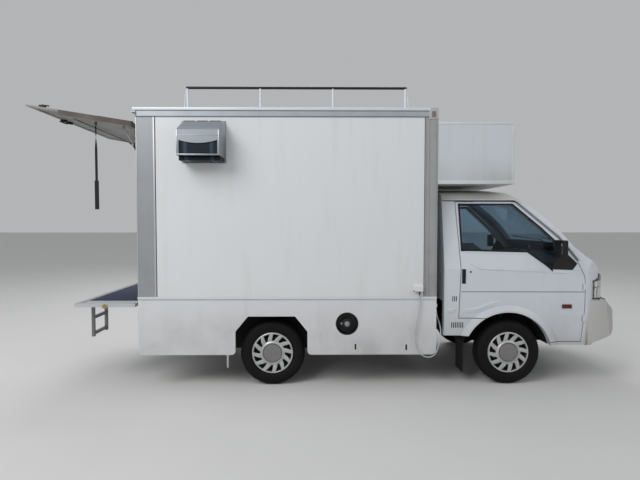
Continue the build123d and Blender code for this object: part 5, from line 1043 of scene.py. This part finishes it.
flap = add_piece("flap_panel", flap_form, flap_brown, "rear_flap", ("rear_flap",))
flap.data.materials.append(flap_pale.material)
flap_metal = bmesh.new()
slab(flap_metal, (-0.890, -0.840, 0.0215), (-0.790, -0.770, 0.0275), 0.002, FLAP_TURN)
slab(flap_metal, (-0.890, -0.825, 0.0270), (-0.830, -0.800, 0.0480), 0.004, FLAP_TURN)
slab(flap_metal, (-0.872, -0.815, 0.0440), (-0.800, -0.806, 0.0560), 0.003, FLAP_TURN)
for y in (-0.310, -0.200):
    slab(flap_metal, (-0.960, y, -0.0130), (-0.890, y + 0.010, 0.0125), 0.002, FLAP_TURN)
slab(flap_metal, (-0.966, -0.315, -0.0180), (-0.950, -0.185, -0.0060), 0.004, FLAP_TURN)
for y in (-0.845, 0.845, 0.0):
    slab(flap_metal, (-0.330, y - 0.022, 0.0220), (-0.006, y + 0.022, 0.0262), 0.0015, FLAP_TURN)
add_piece("flap_fittings", flap_metal, road_steel, "rear_flap")
flap_seal = bmesh.new()
for y in (-0.770, 0.770):
    slab(flap_seal, (-0.660, y - 0.006, -0.0085), (-0.110, y + 0.006, -0.0040), 0.0015, FLAP_TURN)
for x in (-0.660, -0.122):
    slab(flap_seal, (x, -0.770, -0.0085), (x + 0.012, 0.770, -0.0040), 0.0015, FLAP_TURN)
add_piece("flap_seal", flap_seal, black_rubber, "rear_flap")
dress(black_plastic, "strut_tubes")
dress(stainless, "strut_rods")

# Pull strap: black woven webbing sewn round the bar above, and doubled into a hand loop at its end. It hangs
# with a quarter twist.
webbing = Finish("webbing", Roughness=0.85)
ribs = webbing.node("ShaderNodeTexWave", {"bands_direction": "Z"}, {
    "Vector": webbing.place(), "Scale": 110.0, "Distortion": 0.6})
webbing.set(Base_Color=webbing.mix(ribs, tint(24, 24, 26), tint(12, 12, 13)))
webbing.bump(ribs, 0.5, 0.0008)
STRAP_X, STRAP_Y = -2.1734, -0.770
strap_form = bmesh.new()
slab(strap_form, (STRAP_X - 0.0012, STRAP_Y - 0.013, 1.680), (STRAP_X + 0.0012, STRAP_Y + 0.013, 2.444), 0.0006)
for face_x in (-0.0034, 0.0012):
    slab(strap_form, (STRAP_X + face_x, STRAP_Y - 0.020, 1.668), (STRAP_X + face_x + 0.0022, STRAP_Y + 0.020, 1.935),
         0.0006)
slab(strap_form, (STRAP_X - 0.0040, STRAP_Y - 0.020, 1.6655), (STRAP_X + 0.0040, STRAP_Y + 0.020, 1.6720), 0.0012)
for level in range(40):
    height = 1.700 + level * 0.0185
    bmesh.ops.bisect_plane(strap_form, geom=strap_form.verts[:] + strap_form.edges[:] + strap_form.faces[:],
                           plane_co=(0, 0, height), plane_no=(0, 0, 1))
middle_line = Vector((STRAP_X, STRAP_Y, 0))
for vert in strap_form.verts:
    twist = Matrix.Rotation(radians(80) * (1 - ease(vert.co.z, 2.20, 2.42)), 4, "Z")
    vert.co = middle_line + twist @ (vert.co - middle_line)
add_piece("pull_strap_web", strap_form, webbing, "pull_strap", ("pull_strap",))

# Rear gate: a platform of pale painted steel with a raised edge channel, a brass latch on its right edge and a
# dark blue ribbed mat. The folding steps hang below it.
step_steel = painted("step_steel", tint(112, 113, 114), tint(70, 66, 62), 0.0, 0.3, 0.9, 0.4)
dress(step_steel, "step_frame")
gate_grey = painted("gate_grey", tint(186, 191, 197), tint(112, 108, 104), 0.0, 0.6, 0.95)
dress(gate_grey, "rear_gate")
mat_blue = Finish("mat_blue", Roughness=0.7)
ridges = mat_blue.fade(abs(mat_blue.axes("Y") * 40.0 % 1.0 - 0.5), 0.15, 0.35)
scuffs = mat_blue.noise(9.0, 5.0)
mat_blue.set(Base_Color=mat_blue.mix(mat_blue.fade(scuffs, 0.45, 0.8, 0.0, 0.4),
                                     mat_blue.mix(ridges, tint(36, 44, 78), tint(26, 32, 58)), tint(66, 70, 88)))
mat_blue.bump(ridges, 0.6, 0.002)
gate_mat = bmesh.new()
slab(gate_mat, (-2.290, -0.700, 0.7885), (-1.806, 0.830, 0.7912), 0.0010)
add_piece("gate_mat", gate_mat, mat_blue, "rear_gate")
gate_rim = bmesh.new()
for side in (-1, 1):
    slab(gate_rim, (-2.350, side * 0.8795, 0.7865), (-1.800, side * 0.8400, 0.7935), 0.002)
slab(gate_rim, (-2.3505, -0.8790, 0.7860), (-2.3000, 0.8790, 0.7928), 0.002)
add_piece("gate_rim", gate_rim, pale_metal, "rear_gate")
brass = moulded("latch_brass", tint(150, 132, 84), 0.35, 90.0, 0.2)
gate_latch = bmesh.new()
slab(gate_latch, (-2.095, -0.8840, 0.7480), (-2.045, -0.8780, 0.7800), 0.002)
slab(gate_latch, (-2.078, -0.8880, 0.7540), (-2.066, -0.8830, 0.7900), 0.002)
add_piece("gate_latch", gate_latch, brass, "rear_gate")

# Rear lamps: red tail and brake, amber turn and clear reverse lenses in one moulding each side of a bare plate,
# all fixed to the rear sill.
lamp_red = Finish("lamp_red", Coat_Weight=0.6, Roughness=0.22)
lamp_y = abs(lamp_red.axes("Y"))
cells = lamp_red.node("ShaderNodeTexWave", {"bands_direction": "Z"}, {"Vector": lamp_red.place(), "Scale": 30.0})
amber = lamp_red.fade(lamp_y, 0.712, 0.714)
clear = lamp_red.fade(lamp_y, 0.632, 0.634, 1.0, 0.0)
lamp_red.set(Base_Color=lamp_red.mix(cells * 0.25, lamp_red.mix(
    clear, lamp_red.mix(amber, tint(150, 20, 18), tint(196, 104, 28)), tint(206, 206, 202)), tint(90, 30, 20)))
lamp_red.bump(cells, 0.4, 0.001)
dress(lamp_red, "rear_lamps")
rear_plate = bmesh.new()
slab(rear_plate, (-1.7665, -0.186, 0.622), (-1.7640, 0.186, 0.756), 0.001)
add_piece("rear_plate", rear_plate, plate_white, "body")
plate_frame = bmesh.new()
slab(plate_frame, (-1.7648, -0.196, 0.612), (-1.7630, 0.196, 0.766), 0.001)
slab(plate_frame, (-1.7800, -0.050, 0.6060), (-1.7630, 0.050, 0.6140), 0.003)
add_piece("plate_frame", plate_frame, black_plastic, "body")

# Freezer: a white chest cabinet with a grey rim round its top, two sliding steel lids and a black grille over
# its motor. It stands on the box's worn floor boards.
dress(white_plastic, "freezer_cabinet")
freezer_trim = bmesh.new()
slab(freezer_trim, (-0.418, -0.838, 1.6480), (0.778, -0.252, 1.6685), 0.004)
add_piece("freezer_rim", freezer_trim, dash_plastic, "body")
freezer_lids = bmesh.new()
for low_x, high_x, level in ((-0.395, 0.200, 1.6690), (0.165, 0.755, 1.6745)):
    slab(freezer_lids, (low_x, -0.815, level - 0.006), (high_x, -0.275, level), 0.002)
add_piece("freezer_lids", freezer_lids, stainless, "body")
freezer_grille = bmesh.new()
for step in range(9):
    slab(freezer_grille, (0.480, -0.2505, 0.860 + step * 0.022), (0.740, -0.2455, 0.870 + step * 0.022), 0.001)
add_piece("freezer_grille", freezer_grille, black_plastic, "body")
floor_board = moulded("floor_board", tint(112, 96, 78), 0.6, 120.0, 0.3)
dress(floor_board, "box_floor")

# Serving side: the hatch is a panel in a silver frame with two turn latches, over a stainless counter shelf on
# folding brackets.
dress(stainless, "counter_shelf")
hatch_frame = bmesh.new()
for low, high in (((-0.928, 1.166), (0.528, 1.192)), ((-0.928, 2.094), (0.528, 2.122)),
                  ((-0.928, 1.166), (-0.902, 2.122)), ((0.502, 1.166), (0.528, 2.122))):
    out = 0.9185 if high[0] - low[0] > 0.1 else 0.9180
    slab(hatch_frame, (low[0], 0.912, low[1]), (high[0], out, high[1]), 0.0015)
add_piece("hatch_frame", hatch_frame, pale_metal, "serving_hatch")
hatch_latches = bmesh.new()
for x in (-0.700, 0.300):
    slab(hatch_latches, (x - 0.045, 0.9155, 1.200), (x + 0.045, 0.9215, 1.250), 0.003)
    turned(hatch_latches, [(0.0, 0.016), (0.012, 0.015), (0.016, 0.010), (0.018, 0.0)], (x, 0.921, 1.225),
           (0, 1, 0), 20)
    slab(hatch_latches, (x - 0.004, 0.930, 1.200), (x + 0.004, 0.9400, 1.250), 0.002)
add_piece("hatch_latches", hatch_latches, black_plastic, "serving_hatch")

# Floor and light: a plain pale floor, a soft main lamp high behind the truck on its right, a weak one ahead of
# it and one high on its left.
floor_form = bmesh.new()
bmesh.ops.create_grid(floor_form, x_segments=1, y_segments=1, size=60.0)
floor_mesh = bpy.data.meshes.new("studio_floor")
floor_form.to_mesh(floor_mesh)
floor_form.free()
floor = bpy.data.objects.new("studio_floor", floor_mesh)
bpy.context.collection.objects.link(floor)
pale_floor = Finish("pale_floor", Roughness=0.9)
floor_spots = pale_floor.noise(1.5, 3.0)
pale_floor.set(Base_Color=pale_floor.mix(floor_spots, tint(212, 212, 210), tint(206, 206, 204)))
floor_mesh.materials.append(pale_floor.material)

world = bpy.data.worlds.new("studio")
bpy.context.scene.world = world
world.use_nodes = True
backdrop = world.node_tree.nodes["Background"]
backdrop.inputs["Color"].default_value = (0.86, 0.88, 0.90, 1.0)
backdrop.inputs["Strength"].default_value = 0.52
LAMPS = (
    # place, what it points at, size, watts
    ((-5.0, -6.0, 6.5), (-0.6, 0.0, 1.3), 5.0, 430.0),
    ((6.0, -4.0, 5.0), (1.2, 0.0, 1.0), 4.0, 60.0),
    ((0.0, 6.0, 7.5), (0.3, 0.0, 1.5), 5.0, 300.0),
)
for place, aim, size, watts in LAMPS:
    light = bpy.data.lights.new("softbox", "AREA")
    light.energy = watts
    light.size = size
    lamp = bpy.data.objects.new("softbox", light)
    lamp.location = place
    lamp.rotation_euler = (Vector(aim) - Vector(place)).to_track_quat("-Z", "Y").to_euler()
    bpy.context.collection.objects.link(lamp)
